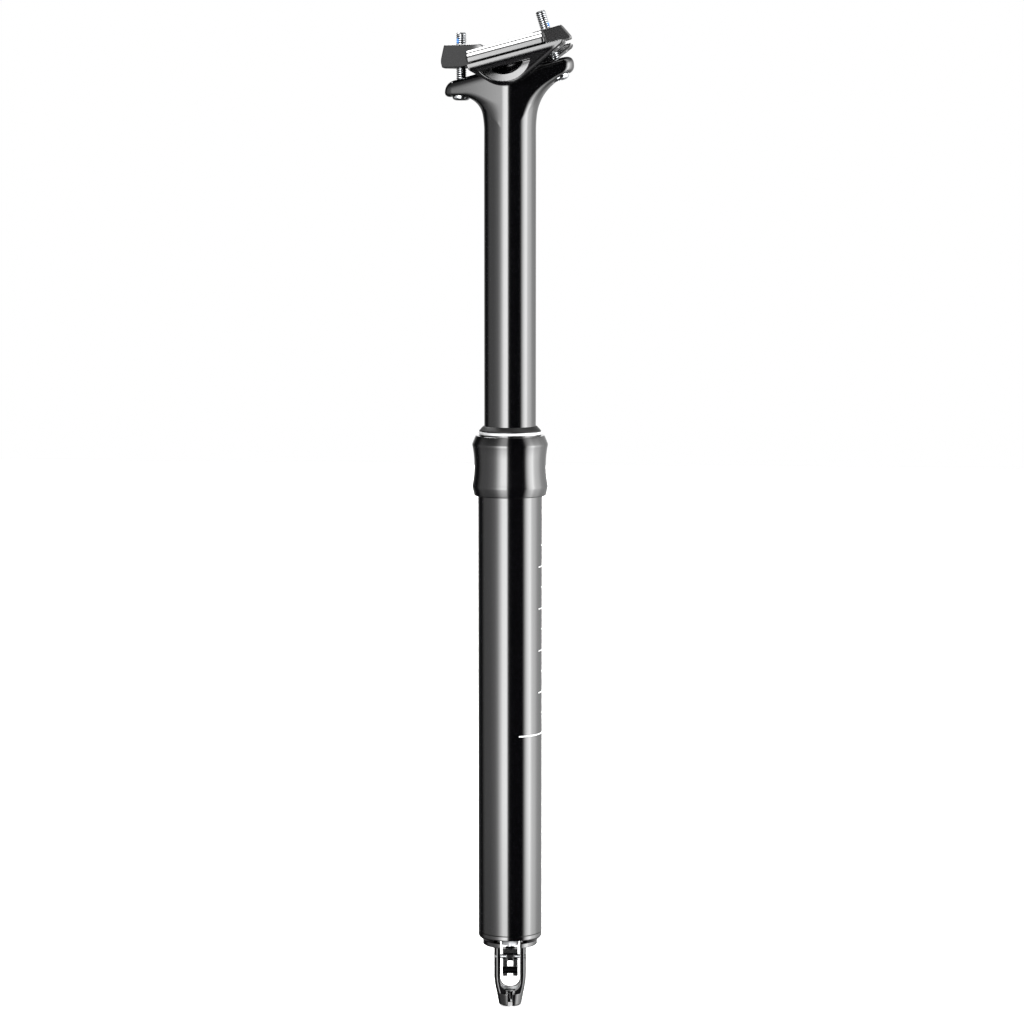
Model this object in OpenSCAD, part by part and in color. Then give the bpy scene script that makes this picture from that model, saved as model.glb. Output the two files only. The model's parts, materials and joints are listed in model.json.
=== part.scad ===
// Telescopic (dropper) bicycle seatpost with a two-bolt saddle clamp and an actuator at its foot.
// Millimetres. +X is the riding direction, +Y the rider's left, +Z up along the post.
// The origin is on the post's axis at the underside of the collar.

/* [Travel] */
// Drop of the saddle from full height
travel = 140; // [100:5:170]
// Straight stanchion left above the wiper at full drop
drop_margin = 1.5; // [0.2:0.1:5]
// Free room under the stanchion at full drop
bottom_gap = 14.8; // [1:0.1:40]

/* [Stanchion] */
// Step from the outer tube's outside in to the stanchion's outside
stanchion_step = 3.05; // [2.7:0.05:3.4]
// Wall of the stanchion
stanchion_wall = 1.9; // [1.5:0.1:2.2]
// Solid metal between the stanchion's bore and the start of the flare
head_floor = 5.8; // [3:0.1:12]

/* [Outer tube] */
// Outer diameter that fits the frame's seat tube
tube_d = 30.9; // [30.4:0.1:34.9]
// Wall of the outer tube
tube_wall = 1.75; // [1.6:0.05:2]
// Length of the threaded neck inside the collar
neck_len = 20; // [16:0.5:22]
// Depth of the thread that the collar turns on
neck_thread = 0.3; // [0.2:0.05:0.4]
// Width of the brass guide keys
key_w = 3; // [2:0.1:4]
// Length of the guide keys
key_len = 16; // [10:1:20]
// Depth of the keyways in the tube's wall
keyway_depth = 0.75; // [0.4:0.05:0.9]
// Depth of the key seats in the stanchion
key_seat = 0.6; // [0.4:0.05:0.8]
// Number of guide keys
key_count = 3; // [2:1:4]

/* [Collar] */
// Height of the collar
collar_h = 29; // [28:0.5:36]
// Metal of the collar's two ridges over the tube
ridge_wall = 2.8; // [2.4:0.1:4]
// Metal of the collar's waist over the tube
waist_wall = 1.75; // [1.3:0.05:2.3]
// Metal of the collar's top rim over the tube
rim_wall = 1.15; // [0.9:0.05:2]
// Height of the collar's upper chamfer
top_chamfer_h = 4.2; // [2:0.1:6]
// Height of the collar's lower chamfer
low_chamfer_h = 4.5; // [2:0.1:6]
// Depth of the collar's lower chamfer
low_chamfer = 1; // [0.4:0.1:1.6]
// Thickness of the shoulder that holds the upper bushing down
shoulder_h = 2; // [1.2:0.1:3]
// Length of the upper bushing
upper_bush_len = 18; // [10:0.5:24]
// Length of the lower bushing
lower_bush_len = 20; // [12:0.5:24]

/* [Wiper] */
// Height of the wiper's lip above the collar
wiper_stand = 4.5; // [3:0.1:7]
// Height of the bright ring that shows above the collar
ring_show = 1.9; // [1:0.1:2.6]
// Wall of the bright ring
ring_wall = 1.3; // [1:0.1:1.5]
// Thickness of the wiper's flange
wiper_flange_h = 0.5; // [0.3:0.1:1]

/* [Saddle clamp] */
// Slope of the rails against the square to the post
clamp_tilt = 14.5; // [10:0.5:18]
// Height of the clamp's pivot axis above the start of the flare
pivot_rise = 38.3; // [36:0.1:42]
// Radius of the cradle's keel about the pivot axis
keel_r = 15.5; // [14:0.1:17]
// Thickness of the cradle's hulls at their lower edge
skirt_t = 3.8; // [3:0.1:5]
// Diameter of the saddle rails
rail_d = 7; // [6.5:0.1:8]
// Distance between the saddle rails
rail_span = 44; // [43:0.5:48]
// Depth of the rails' axes under the pivot axis
rail_drop = 3.4; // [2.5:0.1:4.5]
// Metal outside the rail groove
lip_t = 1.45; // [1:0.05:2.5]
// Gap between the clamp's two halves on the rails
jaw_gap = 0.6; // [0.3:0.1:1.5]
// Length of the upper jaws along the rails
jaw_len = 38; // [34:0.5:44]
// Length of the cradle's jaws ahead of the pivot axis
cradle_front = 19.4; // [17:0.1:20]
// Length of the cradle's jaws behind the pivot axis
cradle_rear = 27.6; // [24:0.1:32]
// Distance from the pivot axis forward to the front nut
front_nut_u = 22.9; // [22:0.1:26]
// Height of the front nut over the pivot axis
front_nut_w = 4.6; // [3:0.1:6]
// Distance from the pivot axis back to the rear nut
rear_nut_u = 18.8; // [17.5:0.1:22]
// Height of the rear nut over the pivot axis
rear_nut_w = 3; // [1.5:0.1:4]
// Lean of the front bolt
front_lean = 0; // [-3:0.5:3]
// Lean of the rear bolt
rear_lean = 17; // [14:0.5:19]

/* [Ears and bolts] */
// Distance from the front nut's axis to its bolt's seat
front_grip = 20; // [19:0.1:22]
// Distance from the rear nut's axis to its bolt's seat
rear_grip = 20.6; // [19.6:0.1:22]
// Depth of the bolt seats in the ears
seat_sink = 1.4; // [0.6:0.1:2.4]
// Thickness of the ears over the bolt seats
ear_h = 7.4; // [6.4:0.1:8]
// Half width of the ears
ear_half = 6.6; // [6.4:0.1:9]
// Reach of the front ear past its bolt
ear_front = 7.5; // [6:0.1:10]
// Reach of the rear ear past its bolt
ear_rear = 7.1; // [6:0.1:10]
// Height over which the stanchion's wall swells into the flares
swell_len = 7.3; // [5:0.1:9]
// Turn of the swell under the front ear
front_swell = 11; // [7:0.5:14]
// Turn of the swell under the rear ear
rear_swell = 7; // [5:0.5:10]
// Radius of the flare under the rear ear
rear_flare_r = 22; // [19:0.5:24]
// Turn of the flare under the rear ear
rear_flare_turn = 52; // [47:1:57]
// Thread diameter of the clamp bolts
bolt_d = 5; // [4:0.5:6]
// Length of the front bolt under its head
front_bolt_len = 29; // [27:0.1:35]
// Length of the rear bolt under its head
rear_bolt_len = 31; // [29:0.1:35]
// Diameter of the bolt heads
bolt_head_d = 8.5; // [7.5:0.1:9]
// Height of the bolt heads
bolt_head_h = 3; // [2:0.1:4]
// Hex key size of the bolt heads
bolt_key = 4; // [3:0.5:5]
// Radius of the half-round washers
washer_r = 4.4; // [4:0.1:5]
// Length of the half-round washers
washer_len = 9; // [8:0.1:10]
// Radius of the barrel nuts
nut_r = 4.5; // [4:0.1:5]
// Length of the barrel nuts
nut_len = 11; // [9:0.1:14]
// Wall of the lugs beside the nuts
lug_wall = 1.8; // [1.4:0.1:2.4]

/* [Gas cartridge] */
// Free room between the cartridge and the stanchion's bore
cart_gap = 0.8; // [0.5:0.1:1.4]
// Wall of the cartridge
cart_wall = 1.4; // [1:0.1:1.8]
// Diameter of the cartridge's rod
rod_d = 7.5; // [7:0.1:9]
// Thread diameter of the rod's two ends
rod_tip_d = 5; // [4.6:0.1:6]
// Diameter of the valve pin
pin_d = 2.4; // [2:0.1:3]
// Height of the cartridge's gland
gland_h = 14; // [10:0.5:20]
// Height of the piston
piston_h = 8; // [6:0.5:12]
// Height of the floating piston
float_h = 8; // [6:0.5:12]
// Height of the plug's spigot inside the cartridge
plug_h = 3.5; // [2:0.5:6]
// Height of the plug's flange above the cartridge
plug_flange = 1.5; // [1:0.1:3]
// Height of the threaded ring that holds the cartridge
retainer_h = 8; // [5:0.5:12]

/* [Foot] */
// Length of the end cap's spigot inside the tube
spigot_h = 10; // [8:0.5:16]
// Height of the end cap below the tube
cap_h = 4.3; // [3:0.1:8]
// Height of the end cap's chamfer
cap_chamfer_h = 2; // [1:0.1:2.5]
// Depth of the end cap's chamfer
cap_chamfer = 2.2; // [1:0.1:3]
// Thickness of the end cap's floor
cap_floor = 7; // [5:0.1:10]
// Turn of the actuator about the post's axis
actuator_turn = 6; // [-15:1:15]
// Height of the actuator's base disc
base_h = 2.3; // [1.5:0.1:4]
// Outer diameter of the actuator's cage
cage_d = 15.7; // [15:0.1:17]
// Width of the actuator's window
window_w = 9.5; // [9:0.1:10]
// Length of the cage from its base to the window's arch
window_len = 25.4; // [24:0.1:28]
// Length of the cage below the window's arch
cage_tail = 7.4; // [7:0.1:12]
// Diameter of the cage at its tip
tip_d = 10.9; // [9.5:0.1:12]
// Width of the slot that lets the cable in
slot_w = 2.1; // [1.4:0.1:2.4]
// Diameter of the cable housing
housing_d = 5; // [4:0.5:5]
// Depth of the socket for the cable housing
socket_len = 5; // [4:0.5:6]
// Flat size of the rod's nut
rod_nut_af = 8; // [7.5:0.1:8.5]
// Height of the rod's nut
rod_nut_h = 2.8; // [2.4:0.1:3]
// Drop of the lever's pin under the end cap
lever_drop = 8.3; // [8:0.1:10]
// Offset of the lever's pin in front of the post's axis
lever_off = 2.6; // [2.2:0.1:3]
// Diameter of the lever's pin
lever_pin_d = 2; // [1.6:0.1:2.4]
// Width of the lever
lever_w = 7.5; // [6.5:0.1:8.5]
// Length of the lever's legs below its pin
lever_leg = 9; // [8.5:0.1:10]
// Diameter of the cable barrel
barrel_d = 3.5; // [3:0.1:4]

/* [Fits] */
// Radial clearance of pieces that slide or turn
run_clear = 0.05; // [0.03:0.01:0.1]
// Radial clearance of pieces that are screwed or pressed together
fit_clear = 0.02; // [0.01:0.01:0.05]
// Clearance between the cradle and the head
seat_clear = 0.3; // [0.2:0.05:0.5]

/* [Hidden] */
$fn = 72;
over = 1;
arc_steps = 10;
tube_r = tube_d / 2;
stanchion_r = tube_r - stanchion_step;
bore_r = stanchion_r - stanchion_wall;
tube_bore_r = tube_r - tube_wall;
neck_r = tube_r - neck_thread;

// Heights of the sliding parts, worked out from the collar upwards and then down the cartridge
wiper_top = collar_h + wiper_stand;
ring_top = collar_h + ring_show;
pocket_z = neck_len + shoulder_h;
flare_z = wiper_top + travel + drop_margin;
bore_top = flare_z - head_floor;
cart_r = bore_r - cart_gap;
cart_bore_r = cart_r - cart_wall;
cart_top = bore_top - plug_flange;
plug_z = cart_top - plug_h;
float_margin = 1;
groove_h = 2.5;
groove_depth = 1.5;
seal_h = 3;
seal_wall = 2;
float_travel = travel * pow(rod_d / 2 / cart_bore_r, 2);
float_z = plug_z - float_margin - float_travel - float_h;
oil_gap = 3;
piston_z = float_z - oil_gap - travel - piston_h;
topout_gap = 2;
gland_z = piston_z - topout_gap - gland_h;
retainer_z = gland_z - retainer_h;
retainer_recess = 0.5;
post_end = retainer_z - retainer_recess;
bush_z = post_end + 1;
key_z = bush_z + lower_bush_len + 3;
keyway_room = 4;
tube_end = post_end - travel - bottom_gap - spigot_h;
cap_end = tube_end - cap_h;
cage_end = cap_end - window_len - cage_tail;

// Saddle clamp, in its own plane: u runs forward along the rails, w is square to them
pivot_z = flare_z + pivot_rise;
rail_y = rail_span / 2;
groove_r = rail_d / 2 + run_clear;
jaw_edge = rail_y + groove_r + lip_t;
jaw_inner = rail_y - groove_r - lip_t;
keel_half = stanchion_r + seat_clear;
skirt_out = keel_half + skirt_t;
upper_floor = jaw_gap / 2 - rail_drop;
cradle_top = -jaw_gap / 2 - rail_drop;
jaw_side = 2.7;
jaw_wall = 2.6;
upper_top = groove_r - rail_drop + jaw_wall;
flange_side = 2.4;
flange_wall = 1.3;
flange_low = -rail_drop - groove_r - flange_wall;
bridge_half = 12.5;
bridge_drop = 0.9;
boat_u = 3.5;
boat_low = -keel_r - 1.75;
bow_r = 11.5;
bow_turn = 45;
stern_r = 19;
stern_turn = 24;
boat_tail_w = cradle_top - 1.5;
dish_u = 2;
dish_w = -1.5;
dish_r = 14;
dish_slope = 3.8;
dish_depth = 0.6;
pocket_depth = 8;

// Bolts and ears, in the plane of symmetry: points are [x, z]
function clamp_point(u, w) = [u * cos(clamp_tilt) + w * sin(clamp_tilt),
                              pivot_z - u * sin(clamp_tilt) + w * cos(clamp_tilt)];
function lean_dir(a) = [sin(a), cos(a)];
function arc(c, r, from, to, first = 0) =
    [for (i = [first:arc_steps]) let (a = from + (to - from) * i / arc_steps) c + r * [cos(a), sin(a)]];
front_nut = clamp_point(front_nut_u, front_nut_w);
rear_nut = clamp_point(-rear_nut_u, rear_nut_w);
front_seat = front_nut - front_grip * lean_dir(front_lean);
rear_seat = rear_nut - rear_grip * lean_dir(rear_lean);
front_tip = front_seat[0] + ear_front;
rear_tip = rear_seat[0] - ear_rear;
shank_d = bolt_d - 0.2;
bolt_play = 0.4;
ear_hole_d = bolt_d + 1.4;
spot_d = bolt_head_d + 2;
lug_half = nut_len / 2 + lug_wall;
lug_root = 2.4;
lug_edge = 0.8;
lug_shoulder = 3;
lug_taper = 25;
lug_hole_d = bolt_d + 2.4;
front_lug_top = 3;
front_lug_reach = 9.6;
front_lug_slope = 1.8;
front_lug_brow = -4.6;
front_lug_low = -7.8;
rear_lug_top = 1.2;
rear_lug_reach = 11;
rear_lug_slope = 3;
rear_lug_brow = -5.4;
rear_lug_low = -6.9;
head_wide = front_tip - rear_tip;
root_inset = 0.1;
head_top = pivot_z + 4;

// Foot
base_d = 2 * (tube_r - cap_chamfer);
tip_len = 5.2;
tip_taper = 0.95;
tip_rim = 1;
edge = 0.6;
base_edge = 0.8;
tongue_wall = 2.2;
tongue_room = 0.4;
tongue_h = 2;
front_cut = 4.2;
notch_y = 5.2;
window_r = window_w / 2;
arch_z = cap_end - window_len + window_r;
lever_z = cap_end - lever_drop;
nose_r = 1.5;
nose_gap = 0.1;
pin_show = 1.1;
pin_end = cap_end - rod_nut_h - pin_show;
pin_top = piston_z + piston_h - 4;
nose_z = pin_end - nose_gap - nose_r;
barrel_fore = 2.4;
barrel_drop = 6.2;
barrel_y = lever_off + barrel_fore;
barrel_z = lever_z - barrel_drop;
screw_d = 2;
screw_len = 2;
screw_z = lever_w / 2 - 2.2;

// Shared shapes
module ring(r, hole, z, h) {
    translate([0, 0, z]) difference() {
        cylinder(r = r, h = h);
        translate([0, 0, -over]) cylinder(r = hole, h = h + 2 * over);
    }
}

module across(r, len) {
    rotate([90, 0, 0]) cylinder(r = r, h = len, center = true);
}

module crosswise(r, len) {
    rotate([0, 90, 0]) cylinder(r = r, h = len, center = true);
}

module side_plate(points, half) {
    rotate([90, 0, 0]) linear_extrude(2 * half, center = true) polygon(points);
}

module in_clamp() {
    translate([0, 0, pivot_z]) rotate([0, clamp_tilt, 0]) children();
}

module on_bolt(point, lean) {
    translate([point[0], 0, point[1]]) rotate([0, lean, 0]) children();
}

module around_keys() {
    for (i = [0:key_count - 1]) rotate(90 + i * 360 / key_count) children();
}

// Outer tube, fixed in the frame
module outer_tube() {
    keyway_top = key_z + key_len + keyway_room;
    keyway_r = tube_bore_r + keyway_depth;
    color("#202124") difference() {
        union() {
            translate([0, 0, tube_end]) cylinder(r = tube_r, h = -tube_end);
            cylinder(r = neck_r, h = neck_len);
        }
        translate([0, 0, tube_end - over]) cylinder(r = tube_bore_r, h = neck_len - tube_end + 2 * over);
        around_keys() translate([0, -key_w / 2 - run_clear, tube_end - over])
            cube([keyway_r, key_w + 2 * run_clear, keyway_top - tube_end + over]);
    }
}

module collar() {
    ridge_r = tube_r + ridge_wall;
    waist_r = tube_r + waist_wall;
    ridge_top = collar_h - top_chamfer_h;
    waist_z = (ridge_top + low_chamfer_h) / 2;
    half = (ridge_top - low_chamfer_h) / 2;
    dip = ridge_r - waist_r;
    sweep_r = (half * half + dip * dip) / (2 * dip);
    turn = asin(half / sweep_r);
    pocket_r = tube_bore_r + ring_wall + fit_clear;
    color("#1c1d20") rotate_extrude() polygon(concat(
        [[neck_r + fit_clear, 0], [ridge_r - low_chamfer, 0]],
        arc([waist_r + sweep_r, waist_z], sweep_r, 180 + turn, 180 - turn),
        [[tube_r + rim_wall, collar_h], [pocket_r, collar_h], [pocket_r, pocket_z],
         [stanchion_r + 2 * seat_clear, pocket_z], [stanchion_r + 2 * seat_clear, neck_len],
         [neck_r + fit_clear, neck_len]]));
}

module wiper_ring() {
    color("#e9eaec") ring(tube_bore_r + ring_wall, tube_bore_r + fit_clear, pocket_z,
                          ring_top - pocket_z);
}

module wiper_seal() {
    lip_r = stanchion_r + run_clear;
    lip_t = 0.5;
    relief_r = lip_r + 2 * seat_clear;
    flange_r = tube_bore_r + ring_wall - 2 * run_clear;
    color("#151515") rotate_extrude() polygon([
        [relief_r, pocket_z], [tube_bore_r, pocket_z], [tube_bore_r, ring_top], [flange_r, ring_top],
        [flange_r, ring_top + wiper_flange_h], [lip_r + lip_t, wiper_top], [lip_r, wiper_top],
        [lip_r, ring_top], [relief_r, ring_top - over]]);
}

module upper_bushing() {
    color("#8a7a52") ring(tube_bore_r - fit_clear, stanchion_r + run_clear,
                          neck_len - upper_bush_len, upper_bush_len);
}

module end_cap() {
    spigot_r = tube_bore_r - fit_clear;
    cup_wall = 4.5;
    cup_r = spigot_r - cup_wall;
    color("#232427") difference() {
        rotate_extrude() polygon([
            [rod_tip_d / 2 + fit_clear, cap_end], [tube_r - cap_chamfer, cap_end],
            [tube_r, cap_end + cap_chamfer_h], [tube_r, tube_end], [spigot_r, tube_end],
            [spigot_r, tube_end + spigot_h], [cup_r, tube_end + spigot_h], [cup_r, cap_end + cap_floor],
            [rod_tip_d / 2 + fit_clear, cap_end + cap_floor]]);
        ring(base_d / 2 - tongue_wall + fit_clear, cage_d / 2 + tongue_room - fit_clear,
             cap_end - over, over + tongue_h);
        rotate(actuator_turn) translate([-cage_d / 2, notch_y, cap_end - over])
            cube([cage_d, tube_d, over + cap_chamfer_h]);
    }
}

// Actuator cage: base disc, two flat-faced arms round a window, and a slotted tip for the cable housing
module actuator_cage() {
    base_r = base_d / 2;
    base_low = cap_end - base_h;
    socket_r = housing_d / 2 + 2 * run_clear;
    web = 1.2;
    bore_low = cage_end + socket_len + web;
    tip_top_r = tip_d / 2 + tip_taper;
    flat_low = cage_end + tip_len + tip_rim;
    color("#26272a") rotate(actuator_turn) difference() {
        union() {
            rotate_extrude() polygon([
                [0, cap_end], [base_r, cap_end], [base_r, base_low + base_edge],
                [base_r - base_edge, base_low], [0, base_low]]);
            ring(base_r - tongue_wall, cage_d / 2 + tongue_room, cap_end - base_edge,
                 base_edge + tongue_h - run_clear);
            rotate_extrude() polygon([
                [0, cap_end], [cage_d / 2, cap_end], [cage_d / 2, arch_z], [tip_top_r, cage_end + tip_len],
                [tip_d / 2, cage_end + edge], [tip_d / 2 - edge, cage_end], [0, cage_end]]);
        }
        for (side = [0, 1]) mirror([0, side, 0]) translate([-cage_d / 2 - over / 2, front_cut, flat_low])
            cube([cage_d + over, base_d, cap_end + tongue_h + over - flat_low]);
        translate([-window_r, -base_d, arch_z]) cube([window_w, 2 * base_d, tongue_h + cap_end - arch_z]);
        translate([0, 0, arch_z]) across(window_r, 2 * base_d);
        translate([0, 0, bore_low]) cylinder(r = window_r - edge / 2, h = cap_end + over - bore_low);
        translate([0, 0, cage_end - over]) cylinder(r = socket_r, h = socket_len + over);
        translate([0, 0, cage_end]) cylinder(d = slot_w, h = bore_low - cage_end + over);
        translate([-slot_w / 2, 0, cage_end - over]) cube([slot_w, cage_d, arch_z - cage_end]);
        translate([0, lever_off, lever_z]) crosswise(lever_pin_d / 2 + fit_clear, 2 * cage_d);
    }
}

module lever_pin() {
    pin_half = sqrt(pow(cage_d / 2, 2) - pow(lever_off + lever_pin_d / 2, 2));
    color("#c9ccd0") rotate(actuator_turn) translate([0, lever_off, lever_z])
        crosswise(lever_pin_d / 2, 2 * pin_half);
}

// Gas cartridge: the rod, its nut and its piston stand on the end cap
module cartridge_rod() {
    seat = cap_end + cap_floor;
    thread_show = 0.2;
    foot = cap_end - rod_nut_h - thread_show;
    color("#b9bdc2") difference() {
        union() {
            translate([0, 0, seat]) cylinder(d = rod_d, h = piston_z - seat);
            translate([0, 0, foot]) cylinder(d = rod_tip_d, h = piston_z + piston_h - foot);
        }
        translate([0, 0, foot - over]) cylinder(r = pin_d / 2 + run_clear, h = pin_top + 2 * over - foot);
    }
}

module rod_nut() {
    color("#cfd2d6") translate([0, 0, cap_end - rod_nut_h]) difference() {
        rotate(30) cylinder(d = rod_nut_af / cos(30), h = rod_nut_h, $fn = 6);
        translate([0, 0, -over]) cylinder(r = rod_tip_d / 2 + fit_clear, h = rod_nut_h + 2 * over);
    }
}

module piston() {
    color("#c4a24a") difference() {
        ring(cart_bore_r - 3 * run_clear, rod_tip_d / 2 + fit_clear, piston_z, piston_h);
        ring(cart_r, cart_bore_r - groove_depth, piston_z + (piston_h - groove_h) / 2, groove_h);
    }
}

module piston_ring() {
    color("#202020") ring(cart_bore_r - run_clear, cart_bore_r - groove_depth + fit_clear,
                          piston_z + (piston_h - groove_h) / 2 + fit_clear, groove_h - 2 * fit_clear);
}

module valve_pin() {
    color("#d8dade") translate([0, 0, pin_end]) cylinder(d = pin_d, h = pin_top - pin_end);
}

// Inner post: stanchion and saddle head forged as one piece
module ear_plan(tip) {
    far = tip - ear_half;
    root = stanchion_r - 2 * root_inset;
    turn = 90 - asin((root - ear_half) / far);
    translate([0, 0, flare_z - over]) linear_extrude(head_top - flare_z + over)
        polygon(concat([[0, root]], arc([far, 0], ear_half, turn, -turn), [[0, -root]]));
}

// Underside of an ear: the stanchion's wall swells by a wide arc, then a smaller one turns it outwards
function swept(swell, r, turn) =
    let (swell_r = swell_len / sin(swell),
         start = [stanchion_r - root_inset + swell_r, flare_z],
         end = start + swell_r * [-cos(swell), sin(swell)],
         centre = end + r * [cos(swell), -sin(swell)])
    concat(arc(start, swell_r, 180, 180 - swell), arc(centre, r, 180 - swell, 180 - turn, 1));

module flare(points) {
    rotate_extrude() polygon(concat([[0, flare_z]], points, [[head_wide, head_top], [0, head_top]]));
}

module inner_post() {
    slope = tan(clamp_tilt);
    ear_low = front_seat[1] - seat_sink;
    front_r = (ear_low - flare_z - swell_len) / (1 - sin(front_swell));
    rear_arc = swept(rear_swell, rear_flare_r, rear_flare_turn);
    rear_end = rear_arc[len(rear_arc) - 1];
    bend_in = 3.5;
    bend_r = bend_in - rear_seat[0];
    bend_z = rear_end[1] + (bend_r - rear_end[0]) / tan(rear_flare_turn);
    front_top = front_seat[1] + ear_h;
    rear_top = rear_seat[1] + ear_h;
    low_r = 2;
    high_r = 4.2;
    front_corner = [front_tip - high_r,
                    front_top - slope * (front_tip - high_r - front_seat[0]) - high_r / cos(clamp_tilt)];
    rear_corner = [rear_tip + high_r,
                   rear_top - slope * (rear_tip + high_r - rear_seat[0]) - high_r / cos(clamp_tilt)];
    inside = keel_r * 0.6;
    outline = concat(
        [[rear_tip, post_end - over], [front_tip - low_r, post_end - over], [front_tip - low_r, ear_low]],
        arc([front_tip - low_r, ear_low + low_r], low_r, -90, 0),
        arc(front_corner, high_r, 0, 90 - clamp_tilt),
        [[inside, front_top - slope * (inside - front_seat[0])],
         [-inside, rear_top - slope * (-inside - rear_seat[0])]],
        arc(rear_corner, high_r, 90 - clamp_tilt, 180));
    color("#1d1e21") difference() {
        intersection() {
            side_plate(outline, head_wide);
            union() {
                translate([0, 0, post_end]) cylinder(r = stanchion_r, h = head_top - post_end);
                intersection() {
                    ear_plan(front_tip);
                    flare(concat(swept(front_swell, front_r, 90), [[head_wide, ear_low]]));
                }
                intersection() {
                    mirror([1, 0, 0]) ear_plan(-rear_tip);
                    flare(concat(rear_arc, [[bend_r, bend_z],
                                            [head_wide, bend_z + (head_wide - bend_r) * tan(rear_lean)]]));
                }
            }
        }
        translate([0, 0, post_end - over]) cylinder(r = bore_r, h = bore_top - post_end + over);
        translate([0, 0, pivot_z]) across(keel_r + seat_clear, 2 * head_wide);
        bolt_seat(front_seat, front_lean);
        bolt_seat(rear_seat, rear_lean);
        around_keys() translate([stanchion_r - key_seat, -key_w / 2 - fit_clear, key_z - fit_clear])
            cube([stanchion_r, key_w + 2 * fit_clear, key_len + 2 * fit_clear]);
    }
}

module bolt_seat(seat, lean) {
    on_bolt(seat, lean) {
        cylinder(d = ear_hole_d, h = 2 * ear_h);
        translate([0, 0, -2 * ear_h]) cylinder(d = spot_d, h = 2 * ear_h);
        across(washer_r + run_clear, washer_len + 2 * run_clear);
    }
}

module lower_bushing() {
    color("#6f6548") ring(tube_bore_r - run_clear, stanchion_r + fit_clear, bush_z, lower_bush_len);
}

module guide_keys() {
    in_r = stanchion_r - key_seat + fit_clear;
    out_r = tube_bore_r + keyway_depth - 2 * run_clear;
    color("#b8923e") around_keys()
        translate([in_r, -key_w / 2, key_z]) cube([out_r - in_r, key_w, key_len]);
}

module cartridge_body() {
    color("#9a9da1") ring(cart_r, cart_bore_r, gland_z, cart_top - gland_z);
}

module cartridge_plug() {
    color("#7d8085") union() {
        translate([0, 0, plug_z]) cylinder(r = cart_bore_r - fit_clear, h = bore_top - plug_z);
        translate([0, 0, cart_top]) cylinder(r = bore_r - fit_clear, h = plug_flange);
    }
}

module rod_gland() {
    color("#8f6f3a") difference() {
        ring(cart_bore_r - fit_clear, rod_d / 2 + run_clear, gland_z, gland_h);
        translate([0, 0, gland_z - over]) cylinder(r = rod_d / 2 + seal_wall, h = seal_h + over);
    }
}

module rod_seal() {
    color("#1a1a1a") ring(rod_d / 2 + seal_wall - fit_clear, rod_d / 2 + run_clear, gland_z,
                          seal_h - fit_clear);
}

module cartridge_retainer() {
    rod_room = 0.5;
    color("#55585c") ring(bore_r - fit_clear, rod_d / 2 + rod_room, retainer_z, retainer_h);
}

module floating_piston() {
    color("#a9adb2") difference() {
        translate([0, 0, float_z]) cylinder(r = cart_bore_r - 3 * run_clear, h = float_h);
        ring(cart_r, cart_bore_r - seal_wall, float_z + (float_h - seal_h) / 2, seal_h);
    }
}

module floating_seal() {
    color("#1a1a1a") ring(cart_bore_r - run_clear, cart_bore_r - seal_wall + fit_clear,
                          float_z + (float_h - seal_h) / 2 + fit_clear, seal_h - 2 * fit_clear);
}

// Clamp bolts, turned from below through the ears into the barrel nuts
module clamp_bolt(seat, lean, length) {
    band = 0.4 * bolt_head_h;
    face_d = bolt_key / cos(30) + 1.4;
    socket_depth = 0.6 * bolt_head_h;
    color("#c8cbcf") on_bolt(seat, lean) difference() {
        union() {
            cylinder(d = shank_d, h = length);
            translate([0, 0, -band]) cylinder(d = bolt_head_d, h = band);
            translate([0, 0, -bolt_head_h]) cylinder(d1 = face_d, d2 = bolt_head_d, h = bolt_head_h - band);
        }
        translate([0, 0, -bolt_head_h - over])
            cylinder(d = bolt_key / cos(30), h = socket_depth + over, $fn = 6);
    }
}

module half_washer(seat, lean) {
    color("#b4b8bc") on_bolt(seat, lean) difference() {
        across(washer_r, washer_len);
        translate([-2 * washer_r, -washer_len, -2 * washer_r])
            cube([4 * washer_r, 2 * washer_len, 2 * washer_r]);
        translate([0, 0, -over]) cylinder(r = shank_d / 2 + bolt_play, h = 2 * washer_r);
    }
}

module barrel_nut(point, lean, top) {
    color("#a7aaae") on_bolt(point, lean) difference() {
        across(nut_r, nut_len);
        translate([-nut_r, -nut_len, top]) cube([2 * nut_r, 2 * nut_len, nut_r]);
        translate([0, 0, -2 * nut_r]) cylinder(r = shank_d / 2 + bolt_play, h = 4 * nut_r);
    }
}

module front_bolt() { clamp_bolt(front_seat, front_lean, front_bolt_len); }
module rear_bolt() { clamp_bolt(rear_seat, rear_lean, rear_bolt_len); }
module front_washer() { half_washer(front_seat, front_lean); }
module rear_washer() { half_washer(rear_seat, rear_lean); }
module front_nut() { barrel_nut(front_nut, front_lean, front_lug_top); }
module rear_nut() { barrel_nut(rear_nut, rear_lean, rear_lug_top); }

// Lower cradle: a keel that rocks in the head's cup and a hull on each side that carries a rail
module rail_grooves(from, len) {
    for (side = [-1, 1]) translate([from, side * rail_y, -rail_drop])
        rotate([0, 90, 0]) cylinder(r = groove_r, h = len);
}

module along_rails(points, from, len) {
    for (side = [0, 1]) mirror([0, side, 0])
        translate([from, 0, 0]) rotate([90, 0, 90]) linear_extrude(len) polygon(points);
}

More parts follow.
